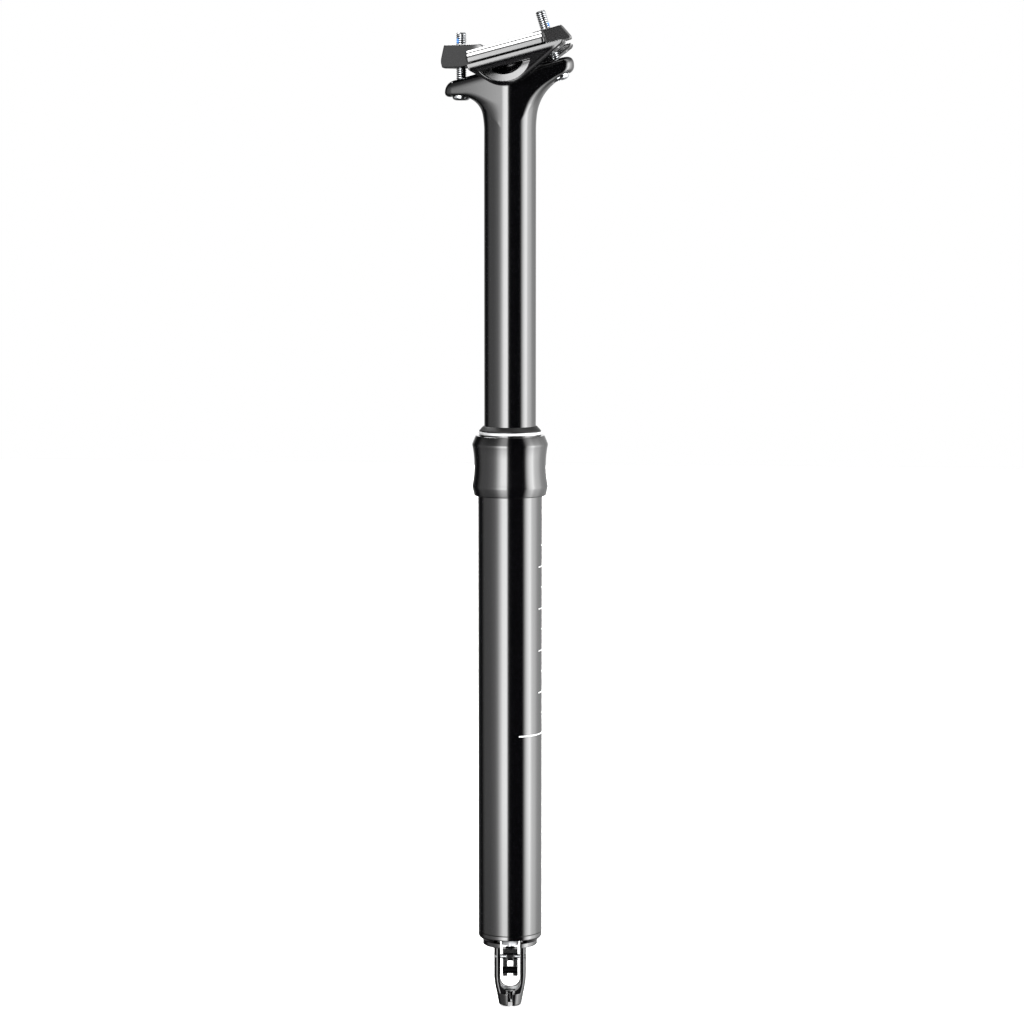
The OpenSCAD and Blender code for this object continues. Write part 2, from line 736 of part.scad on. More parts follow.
module lower_cradle() {
    boat = concat([[cradle_front, cradle_top], [cradle_front, cradle_top - flange_side]],
                  arc([boat_u, boat_low + bow_r], bow_r, -bow_turn, -90),
                  arc([boat_u, boat_low + stern_r], stern_r, -90, -90 - stern_turn, 1),
                  [[-cradle_rear, boat_tail_w], [-cradle_rear, cradle_top]]);
    pocket_r = dish_r - dish_slope;
    color("#232427") in_clamp() difference() {
        union() {
            intersection() {
                across(keel_r, 2 * (keel_half + edge));
                translate([-2 * keel_r, -2 * keel_half, cradle_top - 2 * keel_r])
                    cube([4 * keel_r, 4 * keel_half, 2 * keel_r]);
            }
            intersection() {
                along_rails([[keel_half, cradle_top + over], [jaw_edge, cradle_top + over],
                             [jaw_edge, cradle_top - flange_side], [skirt_out, boat_low - edge],
                             [keel_half, boat_low - edge]],
                            -cradle_rear - over, cradle_rear + cradle_front + 2 * over);
                side_plate(boat, 2 * jaw_edge);
            }
        }
        rail_grooves(-2 * cradle_rear, 4 * cradle_rear);
        for (side = [0, 1]) mirror([0, side, 0]) intersection() {
            translate([dish_u, skirt_out, dish_w]) rotate([90, 0, 0]) rotate_extrude() polygon([
                [0, -jaw_edge], [dish_r, -jaw_edge], [dish_r, 0], [pocket_r, dish_depth],
                [pocket_r, pocket_depth], [0, pocket_depth]]);
            translate([-2 * keel_r, 0, flange_low - 2 * keel_r])
                cube([4 * keel_r, 2 * jaw_edge, 2 * keel_r]);
        }
    }
}

// Upper clamp: two jaws over the rails, a bridge and a lug at each end for a nut
module lug(point, lean, nut_u, top, reach, slope, brow, low) {
    side = sign(nut_u);
    inner = side * (bridge_half - lug_root) - nut_u;
    tip_half = lug_half - (reach + over - lug_shoulder) * tan(lug_taper);
    on_bolt(point, lean) intersection() {
        side_plate([
            [inner, top - slope], [inner + side * slope, top], [side * (reach - slope), top],
            [side * reach, brow], [side * (reach - lug_edge), low], [inner, low]], 2 * lug_half);
        translate([0, 0, low - over]) linear_extrude(top - low + 2 * over) polygon([
            [inner - side * over, lug_half], [side * lug_shoulder, lug_half],
            [side * (reach + over), tip_half], [side * (reach + over), -tip_half],
            [side * lug_shoulder, -lug_half], [inner - side * over, -lug_half]]);
    }
}

module lug_cut(point, lean) {
    on_bolt(point, lean) {
        across(nut_r + run_clear, nut_len + 2 * seat_clear);
        translate([-nut_r - run_clear, -nut_len / 2 - seat_clear, 0])
            cube([2 * (nut_r + run_clear), nut_len + 2 * seat_clear, 4 * nut_r]);
        translate([0, 0, -4 * nut_r]) cylinder(d = lug_hole_d, h = 4 * nut_r);
    }
}

module upper_clamp() {
    color("#2a2b2e") difference() {
        union() {
            in_clamp() {
                along_rails([[jaw_inner, upper_floor], [jaw_edge, upper_floor],
                             [jaw_edge, upper_floor + jaw_side], [rail_y, upper_top],
                             [jaw_inner, upper_top]], -jaw_len / 2, jaw_len);
                translate([-bridge_half, -jaw_inner - edge, upper_floor])
                    cube([2 * bridge_half, 2 * (jaw_inner + edge), upper_top - bridge_drop - upper_floor]);
            }
            intersection() {
                union() {
                    lug(front_nut, front_lean, front_nut_u, front_lug_top, front_lug_reach,
                        front_lug_slope, front_lug_brow, front_lug_low);
                    lug(rear_nut, rear_lean, -rear_nut_u, rear_lug_top, rear_lug_reach,
                        rear_lug_slope, rear_lug_brow, rear_lug_low);
                }
                in_clamp() translate([-head_wide, -head_wide, upper_floor])
                    cube([2 * head_wide, 2 * head_wide, head_wide]);
            }
        }
        in_clamp() rail_grooves(-jaw_len, 2 * jaw_len);
        lug_cut(front_nut, front_lean);
        lug_cut(rear_nut, rear_lean);
    }
}

// Actuator lever: a rocker on its pin; the cable pulls its legs and its nose lifts the valve pin
module actuator_lever() {
    hub_r = 2.2;
    block_y = -1.7;
    block_front = 1.2;
    block_over = 0.9;
    leg_gap = 2.7;
    leg_t = (lever_w - leg_gap) / 2;
    leg_y = lever_off - 1.2;
    leg_d = 4.6;
    toe_h = 1.6;
    pin_view = 3.6;
    color("#1b1b1d") rotate(actuator_turn) difference() {
        union() {
            translate([0, lever_off, lever_z]) crosswise(hub_r, lever_w);
            translate([-lever_w / 2, block_y, lever_z])
                cube([lever_w, lever_off + block_front - block_y, nose_z - lever_z + block_over]);
            translate([0, 0, nose_z]) crosswise(nose_r, lever_w - 2 * nose_r);
            for (x = [-lever_w / 2, leg_gap / 2]) translate([x, leg_y, lever_z - lever_leg]) {
                cube([leg_t, leg_d, lever_leg]);
                translate([0, -edge, 0]) cube([leg_t, leg_d + 2 * edge, toe_h]);
            }
        }
        translate([0, lever_off, lever_z]) crosswise(lever_pin_d / 2 + run_clear, 2 * lever_w);
        translate([0, barrel_y, barrel_z]) crosswise(barrel_d / 2 + fit_clear, 2 * lever_w);
        for (x = [-lever_w - pin_view / 2, pin_view / 2])
            translate([x, lever_off, lever_z - lever_pin_d / 2]) cube([lever_w, cage_d, lever_pin_d]);
    }
}

module cable_barrel() {
    cable_hole_d = 1.4;
    color("#8d9094") rotate(actuator_turn) translate([0, barrel_y, barrel_z]) difference() {
        crosswise(barrel_d / 2, lever_w);
        cylinder(d = cable_hole_d, h = 2 * barrel_d, center = true);
        translate([screw_z, 0, 0]) rotate([0, 90, 0]) cylinder(r = screw_d / 2 + fit_clear, h = lever_w);
    }
}

module barrel_screw() {
    key = 1;
    color("#3a3b3d") rotate(actuator_turn) translate([screw_z, barrel_y, barrel_z]) rotate([0, 90, 0])
        difference() {
            cylinder(d = screw_d, h = screw_len);
            translate([0, 0, screw_len / 2]) cylinder(d = key / cos(30), h = screw_len, $fn = 6);
        }
}

outer_tube();
collar();
wiper_seal();
wiper_ring();
upper_bushing();
end_cap();
actuator_cage();
lever_pin();
cartridge_rod();
rod_nut();
piston();
piston_ring();
inner_post();
lower_bushing();
guide_keys();
cartridge_body();
cartridge_plug();
rod_gland();
rod_seal();
cartridge_retainer();
front_bolt();
rear_bolt();
front_washer();
rear_washer();
lower_cradle();
upper_clamp();
front_nut();
rear_nut();
actuator_lever();
cable_barrel();
barrel_screw();
valve_pin();
floating_piston();
floating_seal();
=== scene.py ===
# Looks of a telescopic bicycle seatpost with a two-bolt saddle clamp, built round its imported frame.
# Metres; +X is the riding direction, +Y the rider's left, +Z up the post. Meshes are drawn in millimetres.
import json
import math

import bpy
import numpy as np
from mathutils import Matrix, Vector


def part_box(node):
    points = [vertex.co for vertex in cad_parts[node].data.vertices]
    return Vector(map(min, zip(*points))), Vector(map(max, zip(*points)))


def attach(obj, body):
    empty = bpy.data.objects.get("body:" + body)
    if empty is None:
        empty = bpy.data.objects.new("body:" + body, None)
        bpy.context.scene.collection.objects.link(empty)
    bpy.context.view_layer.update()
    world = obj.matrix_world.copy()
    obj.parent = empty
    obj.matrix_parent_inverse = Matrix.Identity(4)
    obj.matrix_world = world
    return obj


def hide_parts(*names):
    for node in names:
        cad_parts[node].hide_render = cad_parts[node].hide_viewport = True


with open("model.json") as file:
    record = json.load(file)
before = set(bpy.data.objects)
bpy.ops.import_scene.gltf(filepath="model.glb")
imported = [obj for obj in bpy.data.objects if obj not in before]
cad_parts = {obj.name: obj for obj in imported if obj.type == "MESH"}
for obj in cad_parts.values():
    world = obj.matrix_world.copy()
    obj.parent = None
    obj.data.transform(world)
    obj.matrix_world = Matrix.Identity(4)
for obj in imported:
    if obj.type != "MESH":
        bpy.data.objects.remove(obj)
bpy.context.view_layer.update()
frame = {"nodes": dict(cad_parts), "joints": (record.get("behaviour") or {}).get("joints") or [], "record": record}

# Outer tube: a drawn aluminium tube, turned, polished and anodised black, that the bicycle's frame clamps.
# Its reduced top end is the neck that the collar screws onto.
MM = 0.001
scene = bpy.context.scene
tube_wall, neck_step, tube_edge = 1.75, 0.3, 0.25
tube_low, tube_high = (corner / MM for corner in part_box("outer_tube"))
tube_r = tube_high.x
tube_bore_r, neck_r = tube_r - tube_wall, tube_r - neck_step
arc_points = 5


def eased(outline, radius):
    """The closed outline with each corner made a curve that starts radius away, or 0.45 of a short side."""
    points = []
    for before, corner, after in zip(outline[-1:] + outline[:-1], outline, outline[1:] + outline[:1]):
        corner = np.array(corner, float)
        back, ahead = np.array(before) - corner, np.array(after) - corner
        lengths = np.linalg.norm(back), np.linalg.norm(ahead)
        reach = min(radius, 0.45 * min(lengths))
        start, end = corner + back / lengths[0] * reach, corner + ahead / lengths[1] * reach
        for t in np.linspace(0, 1, arc_points):
            points.append(tuple((1 - t) ** 2 * start + 2 * t * (1 - t) * corner + t * t * end))
    return points


def turned(outline, segments=160):
    """Vertices and faces of a closed (radius, height) outline turned about the post's axis."""
    profile = np.array(outline, float)
    angles = np.linspace(0, 2 * math.pi, segments, endpoint=False)
    verts = np.stack([np.outer(np.cos(angles), profile[:, 0]), np.outer(np.sin(angles), profile[:, 0]),
                      np.broadcast_to(profile[:, 1], (segments, len(profile)))], -1).reshape(-1, 3)
    ring, step = np.meshgrid(np.arange(segments), np.arange(len(profile)), indexing="ij")
    next_ring, next_step = (ring + 1) % segments, (step + 1) % len(profile)
    corners = [(ring, step), (next_ring, step), (next_ring, next_step), (ring, next_step)]
    faces = np.stack([a * len(profile) + b for a, b in corners], -1).reshape(-1, 4)
    return verts, faces


def piece(name, shell, finish, body, slot, *nodes, crease=38):
    """Adds one mesh to the object: it rides on a body, wears a finish and stands for the named CAD nodes."""
    verts, faces = shell[:2]
    mesh = bpy.data.meshes.new(name)
    # A quad that names one corner twice is a triangle.
    corners = [list(dict.fromkeys(face)) for face in np.asarray(faces).tolist()]
    mesh.from_pydata((np.asarray(verts) * MM).tolist(), [], corners)
    mesh.shade_smooth()
    if len(shell) > 2:
        mesh.normals_split_custom_set_from_vertices(shell[2].tolist())
    else:
        mesh.set_sharp_from_angle(angle=math.radians(crease))
    mesh.materials.append(finish)
    made = bpy.data.objects.new(name, mesh)
    scene.collection.objects.link(made)
    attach(made, body)
    if nodes:
        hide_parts(*nodes)
    return made


def linear(code):
    """An sRGB hex colour as linear RGBA."""
    channels = [int(code[i:i + 2], 16) / 255 for i in (1, 3, 5)]
    return [c / 12.92 if c <= 0.04045 else ((c + 0.055) / 1.055) ** 2.4 for c in channels] + [1.0]


def add(tree, kind, settings=None, links=None):
    """Adds one shader node: settings go to its sockets or its own properties, links feed its sockets."""
    made = tree.nodes.new("ShaderNode" + kind)
    for name, value in (settings or {}).items():
        if isinstance(name, int) or name in made.inputs:
            made.inputs[name].default_value = value
        else:
            setattr(made, name, value)
    for name, source in (links or {}).items():
        tree.links.new(source, made.inputs[name])
    return made


def finish_of(name, shade, tint, roughness, metallic=0.0, ior=1.5, grain_mm=0.5, relief_mm=0.001,
              stretch=(1, 1, 1), cloud_mm=18):
    """A finish whose grain, of a real width, gives relief and gloss, and whose broad clouds tint it."""
    made = bpy.data.materials.new(name)
    made.use_nodes = True
    tree = made.node_tree
    shader = tree.nodes["Principled BSDF"]
    shader.inputs["Metallic"].default_value = metallic
    if not metallic:
        shader.inputs["IOR"].default_value = ior
    place = add(tree, "TexCoord").outputs["Object"]
    laid = add(tree, "Mapping", {"Scale": stretch}, {"Vector": place}).outputs["Vector"]
    grain = add(tree, "TexNoise", {"Scale": 1 / (grain_mm * MM), "Detail": 3.0, "Roughness": 0.6},
                {"Vector": laid}).outputs["Fac"]
    cloud = add(tree, "TexNoise", {"Scale": 1 / (cloud_mm * MM), "Detail": 2.0},
                {"Vector": place}).outputs["Fac"]
    tone = add(tree, "Mix", {"data_type": "RGBA", 6: linear(shade), 7: linear(tint)}, {0: cloud})
    # Dips in the grain are glossier than its tops.
    gloss = add(tree, "MapRange", {"From Min": 0.25, "From Max": 0.75, "To Min": 0.75 * roughness,
                                   "To Max": 1.3 * roughness}, {"Value": grain})
    relief = add(tree, "Bump", {"Distance": relief_mm * MM, "Strength": 1.0}, {"Height": grain})
    tree.links.new(tone.outputs[2], shader.inputs["Base Color"])
    tree.links.new(gloss.outputs["Result"], shader.inputs["Roughness"])
    tree.links.new(relief.outputs["Normal"], shader.inputs["Normal"])
    return made


# Polished and black-dyed anodised aluminium: a hard glassy oxide (IOR 1.77) over black, so the eye sees deep
# black with clear mirror bands; the turning lines round the tube, 0.05 mm apart, are drawn at 0.6 mm.
gloss_black = finish_of("anodised_aluminium_polished_black", "#020203", "#050506", roughness=0.1, ior=1.77,
                        grain_mm=0.6, relief_mm=0.00005, stretch=(0.03, 0.03, 1))

tube_outline = [(tube_bore_r, tube_low.z), (tube_r, tube_low.z), (tube_r, 0), (neck_r, 0),
                (neck_r, tube_high.z), (tube_bore_r, tube_high.z)]
piece("drawn_tube", turned(eased(tube_outline, tube_edge)), gloss_black, "lower", "black_anodised_gloss",
      "outer_tube")

# Insertion scale: white pad-printed ink on the rear of the tube, a long tick about every 20 mm, a short one
# halfway between them and the minimum-insertion line below; it wraps the round of the tube.
print_film = 0.02
tick_pitch, first_tick_z, long_count, short_count = 20.4, -34.1, 4, 5
long_tick, short_tick, limit_line = 11.5, 4.3, 36.6
tick_height, limit_height, limit_z = 0.55, 0.8, -115.5
scale_marks = [(limit_z, limit_line, limit_height)]
for count in range(long_count):
    scale_marks.append((first_tick_z - count * tick_pitch, long_tick, tick_height))
for count in range(short_count):
    scale_marks.append((first_tick_z + (0.5 - count) * tick_pitch, short_tick, tick_height))


def wrapped(length, z, height, radius, columns=24):
    """A thin band of ink bent round the rear of the tube, thicker at its middle than at its edges."""
    angles = math.pi + np.linspace(-0.5, 0.5, columns) * length / radius
    rows = [(-0.5, 0), (-0.4, 1), (0.4, 1), (0.5, 0)]
    verts = []
    for share, film in rows:
        out = radius + film * print_film
        verts += [(out * math.cos(angle), out * math.sin(angle), z + share * height) for angle in angles]
    faces = [(r * columns + c, r * columns + c + 1, (r + 1) * columns + c + 1, (r + 1) * columns + c)
             for r in range(len(rows) - 1) for c in range(columns - 1)]
    return np.array(verts), np.array(faces)


def joined(shells):
    """Several shells as one."""
    counts = np.cumsum([0] + [len(shell[0]) for shell in shells])
    return (np.concatenate([shell[0] for shell in shells]),
            np.concatenate([shell[1] + start for shell, start in zip(shells, counts)]))


# White pad-printing ink: a thin matt film that is a little uneven where the pad left less of it.
white_ink = finish_of("printing_ink_white", "#c9cacb", "#f1f1f0", roughness=0.55, ior=1.5, grain_mm=0.25,
                      relief_mm=0.004, cloud_mm=1.2)
piece("insertion_scale", joined([wrapped(length, z, height, tube_r) for z, length, height in scale_marks]),
      white_ink, "lower", "black_anodised_gloss")

# Collar: turned from aluminium bar with a waist for the fingers, anodised like the tube and screwed onto its
# neck; it holds the upper bushing, the bright ring and the wiper.
_, collar_high = (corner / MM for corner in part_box("collar"))
collar_top, ridge_r = collar_high.z, collar_high.x
waist_wall, rim_wall, ring_wall, fit_clear = 1.75, 1.15, 1.3, 0.02
waist_r, rim_r = tube_r + waist_wall, tube_r + rim_wall
low_chamfer, low_chamfer_h, top_chamfer_h = 1.0, 4.5, 4.2
pocket_z, pocket_r, mouth_r = 22, tube_bore_r + ring_wall + fit_clear, 13.0
collar_edge, rim_edge = 0.5, 0.3
ridge_top = collar_top - top_chamfer_h
waist_z = (ridge_top + low_chamfer_h) / 2
half_waist, waist_dip = (ridge_top - low_chamfer_h) / 2, ridge_r - waist_r
waist_sweep = (half_waist ** 2 + waist_dip ** 2) / (2 * waist_dip)
waist_share, waist_points, ridge_lead = 0.97, 25, 4
waist = []
for t in np.linspace(-waist_share, waist_share, waist_points):
    height = t * half_waist
    bulge = waist_sweep - math.sqrt(waist_sweep ** 2 - height ** 2)
    waist.append((waist_r + bulge, waist_z + height))
foot_in, foot_out = (neck_r + fit_clear, 0), (ridge_r - low_chamfer, 0)
low_ridge, high_ridge = (ridge_r, low_chamfer_h), (ridge_r, ridge_top)
rim_out, rim_in, pocket_foot = (rim_r, collar_top), (pocket_r, collar_top), (pocket_r, pocket_z)
collar_outline = eased([foot_in, foot_out, low_ridge], collar_edge)[:-arc_points]
collar_outline += eased([foot_out, low_ridge, waist[ridge_lead]], collar_edge)[arc_points:2 * arc_points]
collar_outline += waist[1:-1]
collar_outline += eased([waist[-1 - ridge_lead], high_ridge, rim_out], collar_edge)[arc_points:2 * arc_points]
collar_outline += eased([high_ridge, rim_out, rim_in, pocket_foot], rim_edge)[arc_points:3 * arc_points]
collar_outline += [pocket_foot, (mouth_r, pocket_z), (mouth_r, tube_high.z), (foot_in[0], tube_high.z)]
piece("turned_collar", turned(collar_outline, segments=192), gloss_black, "lower", "black_anodised_gloss",
      "collar")

# Bright ring: a turned aluminium ring pressed into the collar round the wiper's foot; its bead is left bare
# and frosted. Its foot stands back in a groove and is coloured black as painted shade under the bead.
ring_low, ring_high = (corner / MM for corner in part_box("wiper_ring"))
groove_depth, groove_drop, foot_drop, bead_rise = 0.5, 0.2, 0.4, 0.6
foot_edge, bead_edge = 0.15, 0.25
ring_in, ring_out, ring_foot_r = tube_bore_r + fit_clear, ring_high.x, ring_high.x - groove_depth
bead_z = collar_top + bead_rise
foot_outline = [(ring_in, ring_low.z), (ring_out, ring_low.z), (ring_out, collar_top - foot_drop),
                (ring_foot_r, collar_top - groove_drop), (ring_foot_r, bead_z), (ring_in, bead_z)]
bead_outline = [(ring_in, bead_z), (ring_out, bead_z), (ring_out, ring_high.z), (ring_in, ring_high.z)]
# Frosted bare aluminium: nearly white metal whose fine etch spreads the light, so it stays white all round.
bright_aluminium = finish_of("aluminium_frosted_bare", "#f0f1f2", "#fafafa", roughness=0.62, metallic=1.0,
                             grain_mm=0.3, relief_mm=0.003, stretch=(0.2, 0.2, 1))
# The foot's black is painted shade: the dark line in the groove under the bright bead.
piece("ring_foot", turned(eased(foot_outline, foot_edge)), gloss_black, "lower", "polished_aluminium",
      "wiper_ring")
piece("ring_bead", turned(eased(bead_outline, bead_edge)), bright_aluminium, "lower", "polished_aluminium",
      "wiper_ring")

# Wiper: a moulded nitrile rubber lip seal, pressed into the ring, that keeps dirt off the bushing; its cone
# leans on the stanchion.
wiper_low, wiper_high = (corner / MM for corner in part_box("wiper_seal"))
lip_r, lip_wall, relief_r, relief_h = 12.45, 0.5, 13.05, 1.0
flange_h, wiper_edge = 0.5, 0.2
wiper_outline = [(relief_r, wiper_low.z), (tube_bore_r, wiper_low.z), (tube_bore_r, ring_high.z),
                 (wiper_high.x, ring_high.z), (wiper_high.x, ring_high.z + flange_h),
                 (lip_r + lip_wall, wiper_high.z), (lip_r, wiper_high.z), (lip_r, ring_high.z),
                 (relief_r, ring_high.z - relief_h)]
# Moulded nitrile rubber: black with a soft sheen from the mould and its fine spark-eroded grain.
seal_rubber = finish_of("nitrile_rubber_moulded", "#060606", "#0c0c0c", roughness=0.42, ior=1.45,
                        grain_mm=0.3, relief_mm=0.004)
piece("moulded_wiper", turned(eased(wiper_outline, wiper_edge)), seal_rubber, "lower", "seal_rubber",
      "wiper_seal")


# Hidden slides: the two bushings are turned bearing polymer, the guide keys brass; they keep the stanchion
# straight in the tube and stop it from turning.
def dress(finish, *nodes):
    """Gives CAD nodes that keep their own shape a finish."""
    for node in nodes:
        mesh = frame["nodes"][node].data
        mesh.materials.clear()
        mesh.materials.append(finish)


# Bearing polymer: a waxy brown plastic with turning lines.
bearing_polymer = finish_of("bearing_polymer_turned", "#6d5f3e", "#85754f", roughness=0.42, ior=1.55,
                            grain_mm=0.4, relief_mm=0.004, stretch=(0.05, 0.05, 1))
dress(bearing_polymer, "upper_bushing", "lower_bushing")
# Milled brass: warm yellow metal with the cutter's fine lines.
milled_brass = finish_of("brass_milled", "#b08a3a", "#cba653", roughness=0.28, metallic=1.0, grain_mm=0.35,
                         relief_mm=0.002)
dress(milled_brass, "guide_keys", "piston", "rod_gland")

# Gas cartridge inside the post: an aluminium tube with its plug, retainer and floating piston, a hard-chromed
# rod that stands on the end cap, and rubber seals.
# Machined aluminium: pale grey metal with turning lines round it.
machined_aluminium = finish_of("aluminium_machined", "#aeb1b5", "#c3c6c9", roughness=0.3, metallic=1.0,
                               grain_mm=0.4, relief_mm=0.002, stretch=(0.05, 0.05, 1))
dress(machined_aluminium, "cartridge_body", "cartridge_plug", "cartridge_retainer", "floating_piston")
# Ground hard chrome: a cold bright mirror with the grinding wheel's faint lines.
hard_chrome = finish_of("hard_chrome_ground", "#c7cacd", "#d8dadd", roughness=0.09, metallic=1.0,
                        grain_mm=0.25, relief_mm=0.0004, stretch=(0.05, 0.05, 1))
dress(hard_chrome, "cartridge_rod")
dress(seal_rubber, "rod_seal", "piston_ring", "floating_seal")

# Inner post: one aluminium forging, the turned and polished stanchion below and the saddle head above, whose
# front and rear ears carry the clamp bolts; anodised like the tube.
joint_of = {joint["name"]: joint for joint in frame["joints"]}
mount_of = {mount["name"]: mount for mount in frame["record"]["mounts"]}
post_low, post_high = (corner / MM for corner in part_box("inner_post"))
stanchion_r, stanchion_bore_r, bore_top = 12.4, 10.5, 169.2
flare_z, head_seam_z = 175.0, 171.0
pivot_z = joint_of["clamp_tilt"]["pos_m"][2] / MM
rail_axis = mount_of["rail_left"]["axis"]
clamp_tilt = math.asin(abs(rail_axis[2]))
cup_r = 15.8
grip = {"front": 20.0, "rear": 20.6}
seat_sink, ear_h, ear_bow = 1.4, 7.4, 400.0
ear_half = {"front": 5.6, "rear": 6.6}
bolt_lean = {"front": 0.0, "rear": math.radians(17)}
ear_reach = {"front": 8.0, "rear": 7.1}
ends, nut_at, seat_at = ("front", "rear"), {}, {}
for end in ends:
    x, _, z = joint_of[end + "_nut_turn"]["pos_m"]
    nut_at[end] = (x / MM, z / MM)
    seat_at[end] = (nut_at[end][0] - grip[end] * math.sin(bolt_lean[end]),
                    nut_at[end][1] - grip[end] * math.cos(bolt_lean[end]))
swell_len = 7.3
swell = {"front": math.radians(11), "rear": math.radians(7)}
flare_turn = {"front": math.radians(90), "rear": math.radians(52)}
ear_low = seat_at["front"][1] - seat_sink
flare_r = {"front": (ear_low - flare_z - swell_len) / (1 - math.sin(swell["front"])), "rear": 22.0}
rear_bend_in, rear_bend_slope = 3.5, math.radians(17)
ear_hole_r, spot_r, washer_groove_r, washer_groove_half = 3.2, 5.25, 4.45, 4.55
ear_round, ear_round_from, ear_round_len, least_round = 2.6, 3.0, 9.0, 1e-3
ear_brow, wing_fillet, cup_edge, bolt_hole_edge = 5.0, 2.0, 0.7, 0.4


def soft_max(a, b, ease):
    """The larger of two distance fields, with the edge where they meet eased over a width."""
    overlap = np.maximum(ease - np.abs(a - b), 0) / ease
    return np.maximum(a, b) + overlap * overlap * ease / 4


def soft_min(a, b, ease):
    """The smaller of two distance fields, with a fillet where they meet."""
    return -soft_max(-a, -b, ease)


def skin(field, low, high, step, pulls=8, least_slope=0.05):
    """Meshes a distance field in millimetres: a vertex in each cell its surface crosses, pulled onto it."""
    axes = [np.arange(a, b + step, step) for a, b in zip(low, high)]
    inside = field(*np.meshgrid(*axes, indexing="ij")) < 0
    cells_x, cells_y, cells_z = (size - 1 for size in inside.shape)
    count = np.zeros((cells_x, cells_y, cells_z), int)
    for i, j, k in np.ndindex(2, 2, 2):
        count += inside[i:cells_x + i, j:cells_y + j, k:cells_z + k]
    crossed = (count > 0) & (count < 8)
    number = np.full(crossed.shape, -1)
    number[crossed] = np.arange(crossed.sum())
    points = np.array(low, float) + (np.argwhere(crossed) + 0.5) * step
    faces = []
    for axis in range(3):
        a, b = (axis + 1) % 3, (axis + 2) % 3
        near = np.take(inside, range(inside.shape[axis] - 1), axis)
        far = np.take(inside, range(1, inside.shape[axis]), axis)
        edge = np.argwhere(near != far)
        edge = edge[(edge[:, a] > 0) & (edge[:, b] > 0)
                    & (edge[:, a] < crossed.shape[a]) & (edge[:, b] < crossed.shape[b])]
        cells = []
        for da, db in ((-1, -1), (0, -1), (0, 0), (-1, 0)):
            cell = edge.copy()
            cell[:, a] += da
            cell[:, b] += db
            cells.append(number[tuple(cell.T)])
        quads = np.stack(cells, 1)
        outward = near[tuple(edge.T)]
        quads[~outward] = quads[~outward][:, ::-1]
        faces.append(quads)
    nudge = 0.02 * step
    for _ in range(pulls):
        slope = np.stack([field(*(points + nudge * offset).T) - field(*(points - nudge * offset).T)
                          for offset in np.eye(3)], 1) / (2 * nudge)
        push = field(*points.T) / np.maximum((slope ** 2).sum(1), least_slope)
        points = points - slope * np.clip(push, -step, step)[:, None]
    normals = slope / np.maximum(np.linalg.norm(slope, axis=1), 1e-9)[:, None]
    return points, np.concatenate(faces), normals


def bolt_frame(x, z, at, lean):
    """Coordinates across and along a bolt that leans in the plane of symmetry."""
    return ((x - at[0]) * math.cos(lean) - (z - at[1]) * math.sin(lean),
            (x - at[0]) * math.sin(lean) + (z - at[1]) * math.cos(lean))


def ear_plan(x, y, end):
    """From above: the stanchion's round drawn out by a slightly bowed side to the ear's smaller round."""
    tip_r = ear_half[end]
    far = abs(seat_at[end][0]) + ear_reach[end] - tip_r
    out, back = ear_bow - stanchion_r, ear_bow - tip_r
    bow_x = (far * far + out * out - back * back) / (2 * far)
    bow_y = -math.sqrt(out * out - bow_x * bow_x)
    y = np.abs(y)
    side = np.hypot(x - bow_x, y - bow_y) - ear_bow
    root, tip = np.hypot(x, y) - stanchion_r, np.hypot(x - far, y) - tip_r
    at_root = x * bow_y - y * bow_x > 0
    past_tip = (x - far) * bow_y - y * (bow_x - far) < 0
    return np.where(at_root, root, np.where(past_tip, tip, side))


def flare_ends(end):
    """Where the stanchion's wall, swelling by a wide arc and turned by a smaller one, ends each of them."""
    wide, turn, small = swell[end], flare_turn[end], flare_r[end]
    wide_r = swell_len / math.sin(wide)
    first = (stanchion_r + wide_r * (1 - math.cos(wide)), flare_z + swell_len)
    second = (first[0] + small * (math.cos(wide) - math.cos(turn)),
              first[1] + small * (math.sin(turn) - math.sin(wide)))
    return wide_r, first, second


def flared(rho, z, end):
    """The underside of an ear: the wall, its wide arc, the smaller arc and then straight on."""
    wide, turn, small = swell[end], flare_turn[end], flare_r[end]
    wide_r, first, second = flare_ends(end)
    swelling = wide_r - np.hypot(rho - stanchion_r - wide_r, z - flare_z)
    turning = small - np.hypot(rho - first[0] - small * math.cos(wide), z - first[1] + small * math.sin(wide))
    straight = (rho - second[0]) * math.cos(turn) - (z - second[1]) * math.sin(turn)
    past_first = (rho - first[0]) * math.sin(wide) + (z - first[1]) * math.cos(wide) > 0
    past_second = (rho - second[0]) * math.sin(turn) + (z - second[1]) * math.cos(turn) > 0
    low = np.where(z < flare_z, rho - stanchion_r, swelling)
    return np.where(past_first, np.where(past_second, straight, turning), low)


